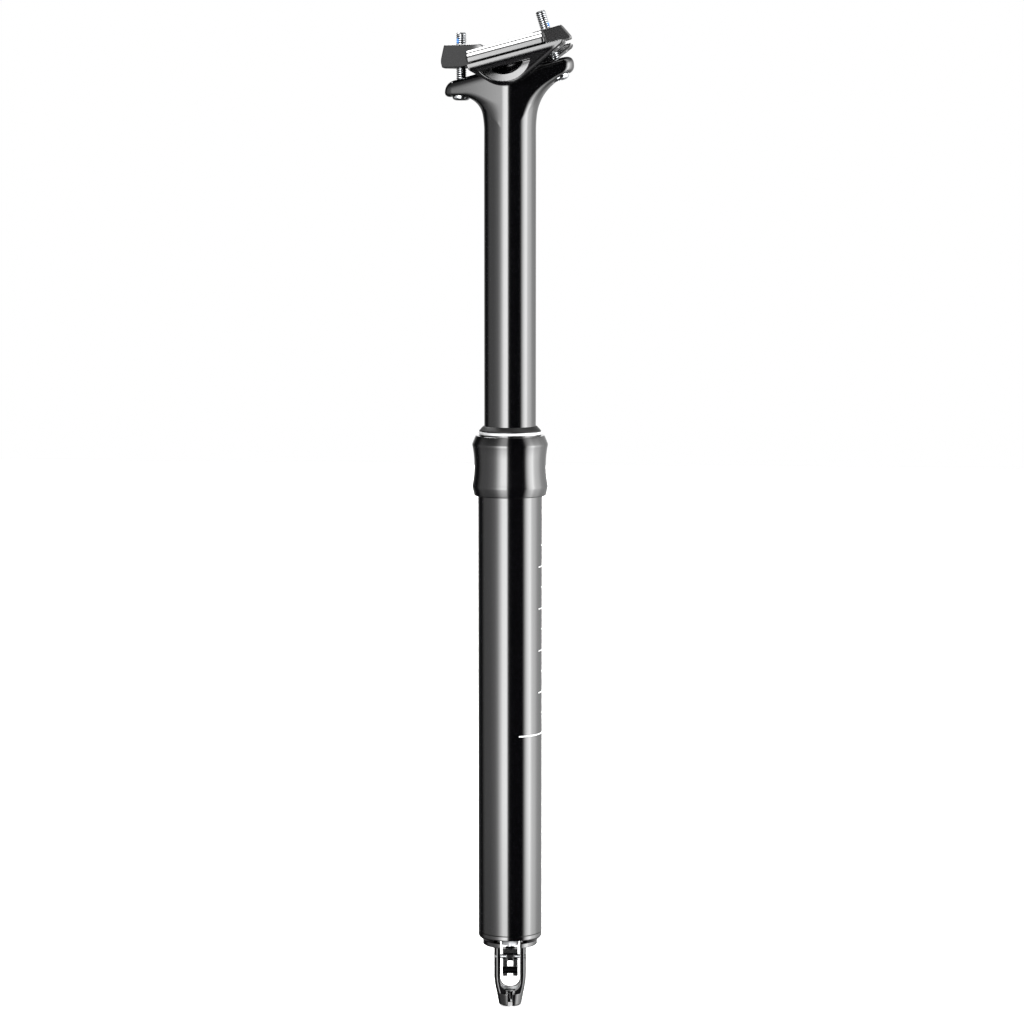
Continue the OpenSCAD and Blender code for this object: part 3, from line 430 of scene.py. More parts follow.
def saddle_head(x, y, z):
    """The head: two flared ears, the cup that the cradle rocks in, and the bolts' holes and seats."""
    rho = np.hypot(x, y)
    ease = ear_round * np.clip((z - flare_z - ear_round_from) / ear_round_len, 0, 1)
    ease = np.maximum(ease, least_round)
    front = soft_max(ear_plan(x, y, "front"), flared(rho, z, "front"), ease)
    bend_rho = rear_bend_in - seat_at["rear"][0]
    rear_end = flare_ends("rear")[2]
    bend_z = rear_end[1] + (bend_rho - rear_end[0]) / math.tan(flare_turn["rear"])
    wing = (bend_z + (rho - bend_rho) * math.tan(rear_bend_slope) - z) * math.cos(rear_bend_slope)
    under = soft_min(flared(rho, z, "rear"), wing, wing_fillet)
    rear = soft_max(ear_plan(-x, y, "rear"), under, ease)
    solid = np.where(x > 0, front, rear)
    for end, here in (("front", x > 0), ("rear", x <= 0)):
        seat_x, seat_z = seat_at[end]
        over = z - seat_z - ear_h + math.tan(clamp_tilt) * (x - seat_x)
        solid = np.where(here, soft_max(solid, over * math.cos(clamp_tilt), ear_brow), solid)
    solid = soft_max(solid, cup_r - np.hypot(x, z - pivot_z), cup_edge)
    for end in ends:
        across, along = bolt_frame(x, z, seat_at[end], bolt_lean[end])
        bore = np.hypot(across, y)
        hole = np.maximum(bore - ear_hole_r, -along)
        spot = np.maximum(bore - spot_r, along)
        groove = np.maximum(np.hypot(across, along) - washer_groove_r, np.abs(y) - washer_groove_half)
        solid = soft_max(solid, -np.minimum(np.minimum(hole, spot), groove), bolt_hole_edge)
    return solid


stanchion_outline = [(stanchion_bore_r, post_low.z), (stanchion_r, post_low.z), (stanchion_r, head_seam_z),
                     (stanchion_bore_r, bore_top)]
piece("stanchion", turned(stanchion_outline), gloss_black, "post", "black_anodised_gloss", "inner_post")
head_step, head_margin, seam_share = 0.5, 0.8, 0.8
head_side = stanchion_r + head_margin
head_shell = skin(saddle_head, (post_low.x - head_margin, -head_side, head_seam_z),
                  (post_high.x + head_margin, head_side, post_high.z + head_margin), head_step)
seam = head_shell[0][:, 2] < head_seam_z + seam_share * head_step
head_shell[0][seam, 2] = head_seam_z
piece("saddle_head", head_shell, gloss_black, "post", "black_anodised_gloss", "inner_post")

# Lower cradle: an aluminium forging whose round keel rocks in the head's cup; its two hulls straddle the
# head, carry the saddle's rails and are dished and pocketed to save weight. Tumbled and anodised black.
keel_r, keel_half, keel_lap, keel_wall, skirt_out = 15.5, 12.7, 0.6, 1.75, 16.5
rail_y = abs(mount_of["rail_left"]["pos_m"][1]) / MM
groove_r = mount_of["rail_left"]["dims"]["r_mm"]
rail_drop, jaw_gap, jaw_lip, flange_wall = 3.4, 0.6, 1.45, 1.3
jaw_edge, jaw_inner = rail_y + groove_r + jaw_lip, rail_y - groove_r - jaw_lip
cradle_top, flange_side, flange_low = -rail_drop - jaw_gap / 2, 2.4, -rail_drop - groove_r - flange_wall
cradle_front, cradle_rear = 19.4, 27.6
boat_u, boat_low = 3.5, -keel_r - keel_wall
bow_r, bow_turn, stern_r, stern_turn = 11.5, math.radians(45), 19.0, math.radians(24)
rim_land, land_fall, land_ease = 0.9, 0.67, 1.0
dish_at, dish_r, dish_slope, dish_depth, pit_depth = (2.0, -1.5), 14.0, 3.8, 0.46, 8.0
keel_edge, hull_end_edge, skirt_edge, hull_edge, hull_fillet = 0.5, 1.2, 0.6, 0.7, 0.6
rail_edge, dish_fillet, dish_edge = 0.3, 0.5, 0.6


def prism(u, w, outline, ease):
    """Distance to a convex outline whose points run anticlockwise, with its corners eased."""
    field = None
    for (u0, w0), (u1, w1) in zip(outline, outline[1:] + outline[:1]):
        side = ((u - u0) * (w1 - w0) - (w - w0) * (u1 - u0)) / math.hypot(u1 - u0, w1 - w0)
        field = side if field is None else soft_max(field, side, ease)
    return field


def hull_side(u, w):
    """The hull from the side: a tight round at the bow and a wide one at the stern, each then straight."""
    field = None
    for facing, radius, turn in ((1, bow_r, bow_turn), (-1, stern_r, stern_turn)):
        out, up = facing * (u - boat_u), w - boat_low - radius
        straight = out * math.sin(turn) - up * math.cos(turn) - radius
        past = out * math.cos(turn) + up * math.sin(turn) > 0
        half = np.where(past, straight, np.hypot(out, up) - radius)
        field = half if field is None else np.where(u > boat_u, field, half)
    return field


def cradle(u, y, w):
    """Keel and hulls, with the rails' grooves and a dish and pocket in each hull's side."""
    y = np.abs(y)
    keel = soft_max(np.hypot(u, w) - keel_r, y - keel_half - keel_lap, keel_edge)
    keel = soft_max(keel, w - cradle_top, keel_edge)
    hull = profile = hull_side(u, w)
    for side in (u - cradle_front, -cradle_rear - u):
        hull = soft_max(hull, side, hull_end_edge)
    rise, run = cradle_top - flange_side - boat_low, jaw_edge - skirt_out
    slope = ((y - skirt_out) * rise - (w - boat_low) * run) / math.hypot(rise, run)
    slope = slope - land_fall * soft_max(profile + rim_land, 0, land_ease)
    hull = soft_max(hull, soft_max(slope, y - jaw_edge, skirt_edge), hull_edge)
    hull = soft_max(soft_max(hull, w - cradle_top, rail_edge), keel_half - y, keel_edge)
    solid = soft_min(keel, hull, hull_fillet)
    solid = soft_max(solid, groove_r - np.hypot(y - rail_y, w + rail_drop), rail_edge)
    bowl = np.hypot(u - dish_at[0], w - dish_at[1])
    cone = ((skirt_out - y) * dish_slope - (dish_r - bowl) * dish_depth) / math.hypot(dish_slope, dish_depth)
    dish = np.maximum(bowl - dish_r, cone)
    pit_r = dish_r - dish_slope
    pit = np.hypot(bowl, np.minimum(y - skirt_out, 0) * pit_r / pit_depth) - pit_r
    cut = soft_max(soft_min(dish, pit, dish_fillet), w - flange_low, dish_fillet)
    return soft_max(solid, -cut, dish_edge)


def in_clamp(shell):
    """A shell drawn along the rails (u), across (y) and square to them (w), turned to the clamp's place."""
    turn = np.array(Matrix.Rotation(clamp_tilt, 3, "Y"))
    verts, faces, normals = shell
    return verts @ turn.T + np.array([0, 0, pivot_z]), faces, normals @ turn.T


# Tumbled black anodised aluminium: the stones' dimples, 0.1 mm wide and drawn at 0.3 mm, only just break up
# the mirror, so flat faces turn wholly white or black with the studio's light and look a little grainy.
satin_black = finish_of("anodised_aluminium_tumbled_black", "#040405", "#08080a", roughness=0.18, ior=1.77,
                        grain_mm=0.3, relief_mm=0.003)
clamp_step, clamp_margin = 0.34, 0.9
clamp_side = jaw_edge + clamp_margin
cradle_shell = skin(cradle, (-cradle_rear - clamp_margin, -clamp_side, boat_low - clamp_margin),
                    (cradle_front + clamp_margin, clamp_side, cradle_top + clamp_margin), clamp_step)
piece("forged_cradle", in_clamp(cradle_shell), satin_black, "clamp", "black_anodised_satin", "lower_cradle")

# Upper clamp: an aluminium forging with a jaw over each rail, a bridge between them and a lug at each end
# that takes a barrel nut; tumbled and anodised like the cradle.
upper_floor, jaw_side, jaw_roof = jaw_gap / 2 - rail_drop, 2.7, 2.6
upper_top = groove_r - rail_drop + jaw_roof
jaw_half, bridge_half, bridge_drop, bridge_lap = 19.0, 12.5, 0.9, 0.6
jaw_lines = {0.0: 0.28, 0.56: 0.42}
jaw_corner, jaw_line_edge, jaw_end_edge = 0.35, 0.2, 1.4
bridge_corner, bridge_edge, bridge_fillet = 0.8, 0.5, 0.4
nut_r, nut_half, nut_edge, open_above = 4.55, 5.8, 0.4, 99
lug_half, lug_root, lug_edge, lug_hole_r = 7.3, 2.4, 0.8, 3.7
lug_shoulder, lug_root_half = 3.0, 13.0
lug_taper = {"front": math.radians(26), "rear": math.radians(29)}
lug_top = {"front": 3.0, "rear": 1.2}
lug_low = {"front": -7.8, "rear": -6.9}
lug_brow = {"front": -4.6, "rear": -5.4}
lug_reach = {"front": 9.6, "rear": 11.0}
lug_slope = {"front": 1.8, "rear": 3.0}
cheek_ease, lug_corner, lug_floor_edge, lug_fillet = 1.5, 0.7, 0.5, 2.0
nut_reach = {"front": 22.9, "rear": 18.8}


def clamp_top(u, y, w):
    """Jaws, bridge and lugs, with the rails' grooves and the nuts' open troughs."""
    x = u * math.cos(clamp_tilt) + w * math.sin(clamp_tilt)
    z = pivot_z - u * math.sin(clamp_tilt) + w * math.cos(clamp_tilt)
    side_y = np.abs(y)
    step_y = jaw_inner - bridge_drop
    section = [(step_y, upper_floor), (jaw_edge, upper_floor), (jaw_edge, upper_floor + jaw_side),
               (rail_y, upper_top), (jaw_inner, upper_top), (step_y, upper_top - bridge_drop)]
    jaw = prism(side_y, w, section, jaw_corner)
    for rise, line_r in jaw_lines.items():
        line_y = jaw_edge + rise * (rail_y - jaw_edge)
        line_w = upper_floor + jaw_side + rise * (upper_top - upper_floor - jaw_side)
        jaw = soft_max(jaw, line_r - np.hypot(side_y - line_y, w - line_w), jaw_line_edge)
    jaw = soft_max(jaw, np.abs(u) - jaw_half, jaw_end_edge)
    plate = soft_max(np.abs(u) - bridge_half, side_y - jaw_inner - bridge_lap, bridge_corner)
    layer = soft_max(w - upper_top + bridge_drop, upper_floor - w, bridge_edge)
    solid = soft_min(jaw, soft_max(plate, layer, bridge_edge), bridge_fillet)
    for end, facing in (("front", 1), ("rear", -1)):
        across, along = bolt_frame(x, z, nut_at[end], bolt_lean[end])
        inner = bridge_half - lug_root - nut_reach[end]
        top, reach, slope = lug_top[end], lug_reach[end], lug_slope[end]
        outline = [(inner, lug_low[end]), (reach - lug_edge, lug_low[end]), (reach, lug_brow[end]),
                   (reach - slope, top), (inner + slope, top), (inner, top - slope)]
        taper = lug_taper[end]
        cheek = (side_y - lug_half) * math.cos(taper) + (facing * across - lug_shoulder) * math.sin(taper)
        plan = soft_max(cheek, side_y - lug_root_half, cheek_ease)
        lug = soft_max(prism(facing * across, along, outline, lug_corner), plan, lug_corner)
        solid = soft_min(solid, soft_max(lug, upper_floor - w, lug_floor_edge), lug_fillet)
    solid = soft_max(solid, groove_r - np.hypot(side_y - rail_y, w + rail_drop), rail_edge)
    for end in ends:
        across, along = bolt_frame(x, z, nut_at[end], bolt_lean[end])
        slot = np.where(along > 0, np.abs(across), open_above)
        trough = np.maximum(np.minimum(np.hypot(across, along), slot) - nut_r, side_y - nut_half)
        hole = np.maximum(np.hypot(across, y) - lug_hole_r, along)
        solid = soft_max(solid, -np.minimum(trough, hole), nut_edge)
    return solid


clamp_low, clamp_high = (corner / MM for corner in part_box("upper_clamp"))
clamp_room, clamp_tall = 5, 14
clamp_shell = skin(clamp_top, (clamp_low.x - clamp_room, -clamp_side, upper_floor - clamp_margin),
                   (clamp_high.x + clamp_room, clamp_side, clamp_tall), clamp_step)
piece("forged_clamp", in_clamp(clamp_shell), satin_black, "clamp", "black_anodised_satin", "upper_clamp")

# Clamp bolts: M5 socket screws of zinc-plated steel, put in from below through the ears; each has a baked-on
# blue nylon patch that keeps it from shaking loose. The rolled thread, 0.8 mm a turn, is drawn at 1.0 mm.
bolt_len = {"front": 29.0, "rear": 31.0}
thread_r, thread_depth, thread_pitch = 2.45, 0.6, 1.0
thread_segments, turn_rows, crest_level, flank, point_drop = 48, 9, 1.35, 2.5, 0.5
head_r, head_h, head_band, key_r, key_depth, face_land = 4.25, 3.0, 2.2, 2.0, 1.8, 0.7
face_r = key_r / math.cos(math.radians(30)) + face_land
head_corner, face_edge, key_edge = 0.5, 0.35, 0.2
# Zinc-plated steel: bright cool metal, slightly cloudy from the passivated plating.
zinc_steel = finish_of("steel_zinc_plated", "#c4c7ca", "#dcdee0", roughness=0.16, metallic=1.0, grain_mm=0.4,
                       relief_mm=0.001, cloud_mm=4)
# Painted shade in the thread's roots: the zinc steel is coloured dark there, so each root is a dark line
# between bright crests.
root_shade_zinc = finish_of("steel_zinc_dull", "#26272a", "#36383b", roughness=0.45, metallic=1.0, grain_mm=0.3,
                      relief_mm=0.002, cloud_mm=4)
# Nylon locking patch: a thin matt blue film, rough from the powder it was melted from.
nylon_blue = finish_of("nylon_patch_blue", "#2f7fd6", "#5ba9ee", roughness=0.5, ior=1.53, grain_mm=0.3,
                       relief_mm=0.02, cloud_mm=1)


def thread(length):
    """A rolled thread: rings along the shank whose radius follows a helix, drawn in to a point at the end."""
    segments, rows = thread_segments, int(length / thread_pitch * turn_rows)
    angle, along = np.meshgrid(np.linspace(0, 2 * math.pi, segments, endpoint=False),
                               np.linspace(0, length, rows), indexing="xy")
    phase = (along / thread_pitch - angle / (2 * math.pi)) % 1
    crest = np.clip(crest_level - flank * np.abs(phase - 0.5), 0, 1)
    radius = thread_r - thread_depth * (1 - crest)
    radius = np.minimum(radius, thread_r - point_drop + (length - along))
    verts = np.stack([radius * np.cos(angle), radius * np.sin(angle), along], -1).reshape(-1, 3)
    row, column = np.meshgrid(np.arange(rows - 1), np.arange(segments), indexing="ij")
    after = (column + 1) % segments
    faces = np.stack([row * segments + column, row * segments + after, (row + 1) * segments + after,
                      (row + 1) * segments + column], -1).reshape(-1, 4)
    tip, last_ring = len(verts), len(verts) - segments
    fan = [(last_ring + c, last_ring + (c + 1) % segments, tip, tip) for c in range(segments)]
    return np.concatenate([verts, [[0, 0, length]]]), np.concatenate([faces, np.array(fan)])


def socket_head(x, y, z):
    """A low round head, tapered to its face, with a hexagonal key socket."""
    rho = np.hypot(x, y)
    taper = (head_r - face_r) / (head_h - head_band)
    cone = (rho - head_r - (z + head_band) * taper) / math.hypot(1, taper)
    solid = soft_max(soft_max(rho - head_r, cone, head_corner), np.maximum(z, -head_h - z), face_edge)
    turns = [math.radians(60 * side) for side in range(6)]
    key = np.maximum.reduce([x * math.cos(a) + y * math.sin(a) for a in turns]) - key_r
    return soft_max(solid, -np.maximum(key, z + head_h - key_depth), key_edge)


bolt_step, bolt_side, bolt_margin, bolt_crease = 0.2, 5, 0.6, 40
bolt_head = skin(socket_head, (-bolt_side, -bolt_side, -head_h - bolt_margin),
                 (bolt_side, bolt_side, bolt_margin), bolt_step)
patch_from = {"front": 24.0, "rear": 22.9}
patch_facing = {"front": math.radians(36), "rear": math.radians(164)}
patch_len, patch_arc, painted_shade_share = 2.0, math.radians(26), 0.3
for end in ends:
    local, faces = joined([thread(bolt_len[end]), bolt_head])
    place = np.array(Matrix.Translation((seat_at[end][0], 0, seat_at[end][1]))
                     @ Matrix.Rotation(bolt_lean[end], 4, "Y"))
    screw = piece(end + "_screw", (local @ place[:3, :3].T + place[:3, 3], faces), zinc_steel, "post",
                  "bolt_steel", end + "_bolt", crease=bolt_crease)
    screw.data.materials.append(root_shade_zinc)
    screw.data.materials.append(nylon_blue)
    for face in screw.data.polygons:
        across, side, along = local[list(face.vertices)].mean(0)
        angle = math.atan2(side, across)
        phase = (along / thread_pitch - angle / (2 * math.pi)) % 1
        off = abs((angle - patch_facing[end] + math.pi) % (2 * math.pi) - math.pi)
        if 0 < along - patch_from[end] < patch_len and off < patch_arc:
            face.material_index = 2
        # Faces down in the thread's roots wear the painted shade.
        elif along > 0 and abs(phase - 0.5) > (1 - painted_shade_share) / 2:
            face.material_index = 1

# Barrel nuts and half-round washers: turned steel, zinc-plated like the bolts; they let the bolts lean as
# the clamp tilts.
dress(zinc_steel, "front_nut", "rear_nut", "front_washer", "rear_washer")

# End cap: turned aluminium, anodised like the tube, screwed into its foot; it carries the cartridge's rod and
# has a notch at the front for the actuator.
cap_low, cap_high = (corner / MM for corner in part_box("end_cap"))
cap_r, cap_chamfer, cap_chamfer_h = cap_high.x, 2.2, 2.0
spigot_r, cup_wall, cap_floor, rod_hole_r = tube_bore_r - fit_clear, 4.5, 7.0, 2.52
cage_r, notch_y = 7.85, 5.2
tongue_out, tongue_in, tongue_h = 11.07, 8.23, 2.0
cap_edge, notch_edge = 0.5, 0.4
lever_axis = joint_of["lever_pull"]["axis"]
actuator_turn = math.atan2(-lever_axis[1], -lever_axis[0])


def in_actuator(x, y):
    """Coordinates across and towards the front of the actuator, which is turned a little on the post."""
    return (x * math.cos(actuator_turn) + y * math.sin(actuator_turn),
            y * math.cos(actuator_turn) - x * math.sin(actuator_turn))


def cap(x, y, z):
    """A chamfered flange and a cupped spigot, with the actuator's channel and notch below."""
    rho = np.hypot(x, y)
    x, y = in_actuator(x, y)
    up = z - cap_low.z
    cone = rho - cap_r + cap_chamfer - up * cap_chamfer / cap_chamfer_h
    cone = cone / math.hypot(1, cap_chamfer / cap_chamfer_h)
    flange = soft_max(soft_max(rho - cap_r, cone, cap_edge), cap_low.z - z, cap_edge)
    flange = soft_max(flange, z - tube_low.z, cap_edge)
    spigot = np.maximum(np.maximum(rho - spigot_r, z - cap_high.z), cap_low.z + cap_chamfer_h - z)
    cup = np.maximum(rho - spigot_r + cup_wall, cap_low.z + cap_floor - z)
    solid = np.maximum(np.maximum(np.minimum(flange, spigot), -cup), rod_hole_r - rho)
    channel = np.maximum(np.maximum(rho - tongue_out, tongue_in - rho), up - tongue_h)
    notch = np.maximum(np.maximum(np.abs(x) - cage_r, notch_y - y), up - cap_chamfer_h)
    return soft_max(solid, -np.minimum(channel, notch), notch_edge)


cap_step, cap_margin = 0.3, 0.7
cap_side = cap_r + cap_margin
cap_shell = skin(cap, (-cap_side, -cap_side, cap_low.z - cap_margin),
                 (cap_side, cap_side, cap_high.z + cap_margin), cap_step)
piece("turned_cap", cap_shell, gloss_black, "lower", "black_anodised_gloss", "end_cap")

# Actuator cage: aluminium, turned and milled, anodised black and then bored, so the bore's wall is bare; two
# flat-faced arms round a window that lets the lever swing, and a slotted tip for the cable housing's end.
cage_low, _ = (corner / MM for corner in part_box("actuator_cage"))
cap_end, cage_end = cap_low.z, cage_low.z
base_r, base_h, base_lap, front_cut = tube_r - cap_chamfer, 2.3, 0.8, 4.2
window_half, window_len, bore_lip = 4.75, 25.4, 0.3
arch_z = cap_end - window_len + window_half
tip_r, tip_len, tip_taper, tip_shoulder = 5.45, 5.2, 0.95, 1.0
flat_low = cage_end + tip_len + tip_shoulder
slot_half, socket_r, socket_len, web = 1.05, 2.6, 5.0, 1.2
cage_bore_r, bore_floor = window_half - bore_lip, cage_end + socket_len + web
lever_pos = [value / MM for value in joint_of["lever_pull"]["pos_m"]]
lever_y, lever_z = in_actuator(*lever_pos[:2])[1], lever_pos[2]
pin_r, tongue_short = 1.02, 0.05
top_edge, base_edge, cage_corner, tip_edge = 0.2, 0.5, 0.8, 0.9
flat_edge, base_fillet, window_edge = 0.4, 0.3, 0.4


def cage(x, y, z):
    """Base disc, tongue and tapered barrel, less flats, window, bore, socket, slit and pin's hole."""
    rho = np.hypot(x, y)
    x, y = in_actuator(x, y)
    base = soft_max(soft_max(rho - base_r, z - cap_end, top_edge), cap_end - base_h - z, base_edge)
    tongue = np.maximum(np.maximum(rho - tongue_out + fit_clear, tongue_in + fit_clear - rho),
                        np.maximum(z - cap_end - tongue_h + tongue_short, cap_end - base_lap - z))
    top_r = tip_r + tip_taper
    taper = (cage_r - top_r) / (arch_z - cage_end - tip_len)
    shoulder = (rho - top_r - (z - cage_end - tip_len) * taper) / math.hypot(1, taper)
    nose = (rho - tip_r - (z - cage_end) * tip_taper / tip_len) / math.hypot(1, tip_taper / tip_len)
    barrel = soft_max(rho - cage_r, np.where(z > cage_end + tip_len, shoulder, nose), cage_corner)
    barrel = soft_max(soft_max(barrel, cage_end - z, tip_edge), z - cap_end, top_edge)
    flats = np.maximum(front_cut - np.abs(y), np.where(y > 0, flat_low, arch_z) - z)
    solid = soft_min(soft_max(barrel, -flats, flat_edge), np.minimum(base, tongue), base_fillet)
    window = np.where(z > arch_z, np.abs(x), np.hypot(x, z - arch_z)) - window_half
    bore = np.maximum(rho - cage_bore_r, bore_floor - z)
    socket = np.maximum(rho - socket_r, z - cage_end - socket_len)
    slit = np.maximum(np.maximum(np.abs(x) - slot_half, -y), z - arch_z)
    hole = np.hypot(y - lever_y, z - lever_z) - pin_r
    for cut in (window, bore, np.minimum(socket, rho - slot_half), slit, hole):
        solid = soft_max(solid, -cut, window_edge)
    return solid


cage_step, cage_margin, tongue_room = 0.24, 0.6, 2.6
cage_side = base_r + cage_margin
cage_shell = skin(cage, (-cage_side, -cage_side, cage_end - cage_margin),
                  (cage_side, cage_side, cap_end + tongue_room), cage_step)
cage_piece = piece("milled_cage", cage_shell, gloss_black, "lower", "black_anodised_gloss", "actuator_cage")
cage_piece.data.materials.append(bright_aluminium)
bare_out, bare_up = 0.1, 0.3
for face in cage_piece.data.polygons:
    centre = face.center / MM
    if math.hypot(centre.x, centre.y) < cage_bore_r + bare_out and centre.z > bore_floor + bare_up:
        face.material_index = 1

# Lever's pin, rod nut and valve pin: ground and turned bright steel; the pin is pressed into the cage, the
# nut holds the rod to the end cap and the valve pin comes down through the rod.
# Bright turned steel: a clear silver metal with fine lines.
bright_steel = finish_of("steel_bright_turned", "#d5d7da", "#e6e7e9", roughness=0.36, metallic=1.0,
                         grain_mm=0.3, relief_mm=0.001)
dress(bright_steel, "lever_pin", "rod_nut", "valve_pin")

# Actuator lever: a milled aluminium rocker, blasted and anodised black; the cable pulls its legs forward and
# its nose lifts the valve pin.
lever_half, hub_r, leg_gap_half, leg_len = 3.75, 2.2, 1.35, 9.0
block_rear, block_front, block_over = -1.7, 1.2, 0.9
nose_r, nose_z = 1.5, lever_z + 2.8
leg_rear, leg_depth, toe_h, toe_out = lever_y - 1.2, 4.6, 1.6, 0.6
pin_view_half, pin_view_h, pin_hole_r = 1.8, 1.0, 1.05
barrel_y, barrel_z, barrel_hole_r = lever_y + 2.4, lever_z - 6.2, 1.77
block_edge, leg_edge, leg_gap_edge, lever_edge = 0.4, 0.5, 0.3, 0.4
nose_edge, nose_fillet, pin_hole_edge = 0.3, 0.3, 0.25


def slab(value, low, high):
    """Distance to the layer between two heights."""
    return np.maximum(low - value, value - high)


def rocker(x, y, z):
    """A hub on the pin, a block above it that ends in the nose, and two toed legs below."""
    x, y = in_actuator(x, y)
    from_pin = np.hypot(y - lever_y, z - lever_z)
    toe_z = lever_z - leg_len
    wide = np.abs(x) - lever_half
    block = soft_max(slab(y, block_rear, lever_y + block_front),
                     slab(z, lever_z, nose_z + block_over), block_edge)
    legs = soft_max(slab(y, leg_rear, leg_rear + leg_depth), slab(z, toe_z, lever_z), leg_edge)
    toes = soft_max(slab(y, leg_rear - toe_out, leg_rear + leg_depth + toe_out),
                    slab(z, toe_z, toe_z + toe_h), leg_edge)
    legs = soft_max(np.minimum(legs, toes), leg_gap_half - np.abs(x), leg_gap_edge)
    nose = soft_max(np.hypot(y, z - nose_z) - nose_r, np.abs(x) - lever_half + nose_r, nose_edge)
    solid = soft_max(np.minimum(np.minimum(from_pin - hub_r, block), legs), wide, lever_edge)
    solid = soft_min(solid, nose, nose_fillet)
    view = np.maximum(np.maximum(pin_view_half - np.abs(x), lever_y - y), np.abs(z - lever_z) - pin_view_h)
    holes = np.minimum(from_pin - pin_hole_r, np.hypot(y - barrel_y, z - barrel_z) - barrel_hole_r)
    return soft_max(solid, -np.minimum(view, holes), pin_hole_edge)


rocker_low, rocker_high = (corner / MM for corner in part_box("actuator_lever"))
rocker_step, rocker_margin = 0.2, Vector((0.5, 0.5, 0.5))
rocker_shell = skin(rocker, tuple(rocker_low - rocker_margin), tuple(rocker_high + rocker_margin),
                    rocker_step)
piece("milled_rocker", rocker_shell, satin_black, "lever", "black_anodised_satin", "actuator_lever")

# Cable barrel and its grub screw: turned steel, chemically blackened; the barrel turns in the lever's legs
# and the screw grips the cable's end.
# Blackened steel: a dark oiled sheen on fine turning lines.
black_steel = finish_of("steel_blackened", "#0b0b0c", "#151517", roughness=0.3, metallic=1.0, grain_mm=0.3,
                        relief_mm=0.002)
dress(black_steel, "cable_barrel", "barrel_screw")

# Camera: the photograph's place and frame, 1.5 m away and slightly above, a little behind square to the
# rider's left side; the picture's scale comes from the tube's width.
view_distance, view_pitch, view_turn = 1.5, math.radians(5.9), math.radians(6)
tube_px, frame_px, axis_px = 64.0, 1024, 510.1
aim_z = -0.00815
px_size = 2 * tube_r * MM / tube_px
towards = Vector((-math.sin(view_turn) * math.cos(view_pitch), math.cos(view_turn) * math.cos(view_pitch),
                  math.sin(view_pitch)))
right = Vector((-math.cos(view_turn), -math.sin(view_turn), 0))
upward = towards.cross(right)
target = Vector((0, 0, aim_z)) - right * (axis_px - frame_px / 2) * px_size
camera_data = bpy.data.cameras.new("photo_camera")
camera_data.sensor_width = 36
camera_data.lens = camera_data.sensor_width * view_distance / (px_size * frame_px)
camera_data.clip_start = 0.05
camera = bpy.data.objects.new("photo_camera", camera_data)
camera.matrix_world = Matrix((right, upward, towards)).transposed().to_4x4()
camera.location = target + towards * view_distance
scene.collection.objects.link(camera)
scene.camera = camera

# Studio: tall soft boxes on both sides of the camera and one overhead, on a white sweep. They are drawn by
# direction in the world, so the polished tubes mirror them as upright bands; the camera sees plain white.
world = bpy.data.worlds.new("studio")
scene.world = world
world.use_nodes = True
tree = world.node_tree
tree.nodes.clear()
dot, times, most = ({"operation": kind} for kind in ("DOT_PRODUCT", "MULTIPLY", "MAXIMUM"))
way = add(tree, "TexCoord").outputs["Generated"]
to_right = add(tree, "VectorMath", {**dot, 1: right}, {0: way}).outputs["Value"]
level_towards = Vector((towards.x, towards.y, 0)).normalized()
to_camera = add(tree, "VectorMath", {**dot, 1: level_towards}, {0: way}).outputs["Value"]
round_angle = add(tree, "Math", {"operation": "ARCTAN2"}, {0: to_right, 1: to_camera}).outputs["Value"]
share = add(tree, "MapRange", {"From Min": -math.pi, "From Max": math.pi}, {"Value": round_angle})
# Each pair is a direction, in degrees to the right of the camera's, and the light from there.
box_levels = [(-180, 0.02), (-158, 0.03), (-149, 0.02), (-142, 0.002), (-122, 0.003), (-110, 0.03),
              (-103, 0.048), (-78, 0.065), (-67, 0.085), (-56, 0.12), (-46, 0.23), (-37, 0.54), (-27, 0.95),
              (-18, 1.02), (-12, 1.0), (-9.5, 0.5), (-6.8, 0.08), (-3, 0.012), (4, 0.001), (43, 0.001),
              (47, 0.02), (51, 0.15), (56, 0.42), (65, 0.82), (77, 1.0), (83, 0.7), (89, 0.55), (101, 0.42),
              (116, 0.2), (137, 0.1), (170, 0.05), (180, 0.0)]
boxes = add(tree, "ValToRGB", links={"Fac": share.outputs["Result"]})
ramp = boxes.color_ramp
while len(ramp.elements) < len(box_levels):
    ramp.elements.new(0.5)
for element, (angle, level) in zip(ramp.elements, box_levels):
    element.position = (angle + 180) / 360
    element.color = (level, level, level, 1)
# The boxes fade below and above; the overhead one is a round cap, the sweep a low patch behind.
smooth = {"interpolation_type": "SMOOTHSTEP"}
foot_fade = {"From Min": -0.8, "From Max": -0.25, "To Min": 0.06}
top_fade = {**smooth, "From Min": 0.6, "From Max": 0.2, "To Min": 0.3}
overhead_way = Vector((0.297, -0.492, 0.818))
overhead_fade = {**smooth, "From Min": math.cos(math.radians(18)), "From Max": math.cos(math.radians(10)),
                 "To Max": 2.0}
sweep_fade = {**smooth, "From Min": -0.93, "From Max": -0.97}
horizon_fade = {**smooth, "From Min": 0.0, "From Max": 0.03, "To Max": 0.13}
side_power, backdrop = 10.0, 1.0
height = add(tree, "SeparateXYZ", links={"Vector": way}).outputs["Z"]
footing = add(tree, "MapRange", foot_fade, {"Value": height}).outputs["Result"]
heading = add(tree, "MapRange", top_fade, {"Value": height}).outputs["Result"]
upright = add(tree, "Math", times, {0: footing, 1: heading}).outputs["Value"]
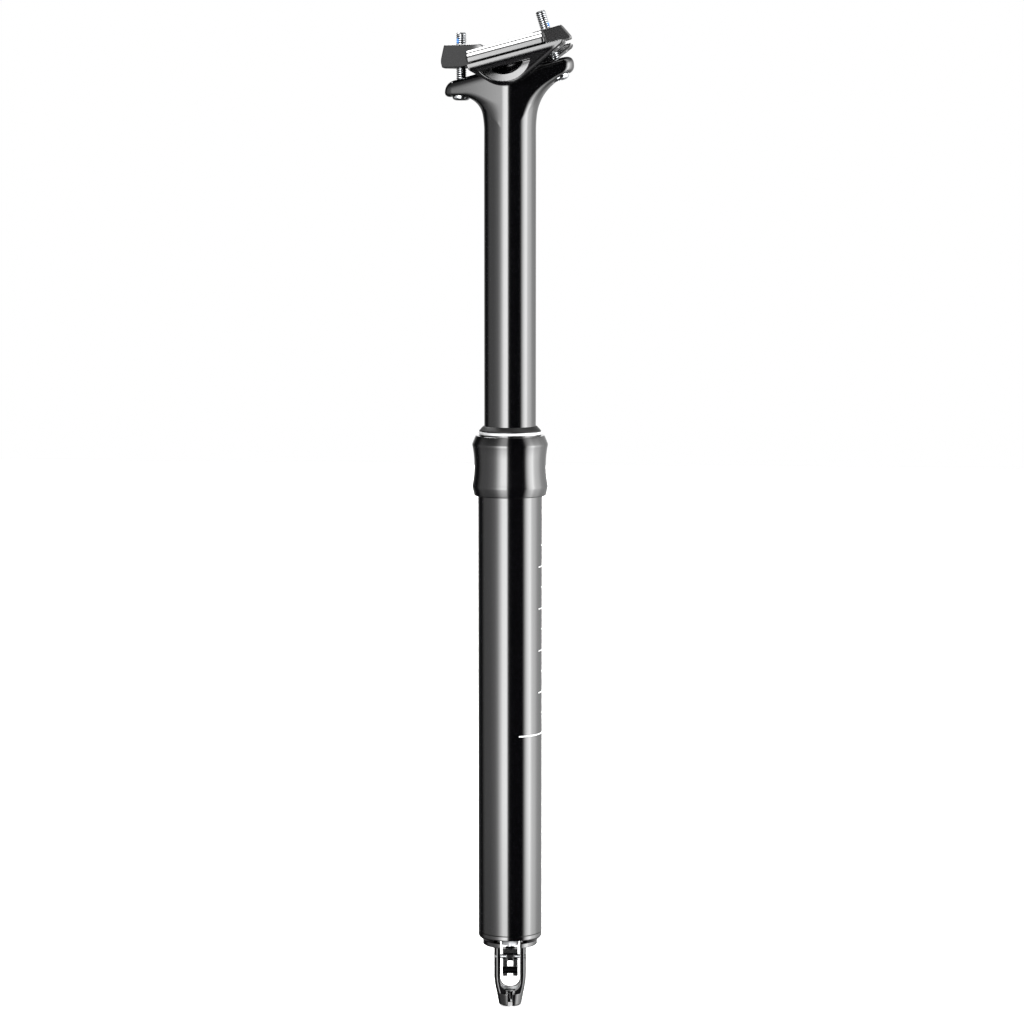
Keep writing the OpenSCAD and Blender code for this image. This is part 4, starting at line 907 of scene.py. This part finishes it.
side_light = add(tree, "Math", times, {0: boxes.outputs["Color"], 1: upright})
overhead_dot = add(tree, "VectorMath", {**dot, 1: overhead_way}, {0: way})
overhead = add(tree, "MapRange", overhead_fade, {"Value": overhead_dot.outputs["Value"]}).outputs["Result"]
away = add(tree, "MapRange", sweep_fade, {"Value": to_camera}).outputs["Result"]
skyward = add(tree, "MapRange", horizon_fade, {"Value": height}).outputs["Result"]
sweep = add(tree, "Math", times, {0: away, 1: skyward}).outputs["Value"]
light = add(tree, "Math", most, {0: side_light.outputs["Value"], 1: overhead})
light = add(tree, "Math", most, {0: light.outputs["Value"], 1: sweep})
studio = add(tree, "Background", {"Strength": side_power}, {"Color": light.outputs["Value"]})
plain = add(tree, "Background", {"Color": (1, 1, 1, 1), "Strength": backdrop})
seen = add(tree, "LightPath").outputs["Is Camera Ray"]
both = add(tree, "MixShader", links={0: seen, 1: studio.outputs[0], 2: plain.outputs[0]})
add(tree, "OutputWorld", links={"Surface": both.outputs[0]})
scene.view_settings.view_transform = "Standard"

# Floor: a light table of matt opal acrylic just below the post's tip, lit from below. Glossy rays pass it
# by, so the black tubes don't mirror it.
floor_gap, floor_half, table_glow = 0.0004, 3.0, 0.55
floor_z = cage_end * MM - floor_gap
floor_corners = [(x * floor_half, y * floor_half, floor_z) for x, y in ((-1, -1), (1, -1), (1, 1), (-1, 1))]
floor_mesh = bpy.data.meshes.new("light_table")
floor_mesh.from_pydata(floor_corners, [], [(0, 1, 2, 3)])
# Opal acrylic: an even white with a very fine mottle.
opal_acrylic = finish_of("acrylic_opal_matt", "#f4f4f4", "#fafafa", roughness=0.6, ior=1.49, grain_mm=2,
                         relief_mm=0.002, cloud_mm=80)
table_shader = opal_acrylic.node_tree.nodes["Principled BSDF"]
table_shader.inputs["Emission Color"].default_value = (1, 1, 1, 1)
table_shader.inputs["Emission Strength"].default_value = table_glow
floor_mesh.materials.append(opal_acrylic)
floor = bpy.data.objects.new("light_table", floor_mesh)
scene.collection.objects.link(floor)
floor.visible_glossy = False
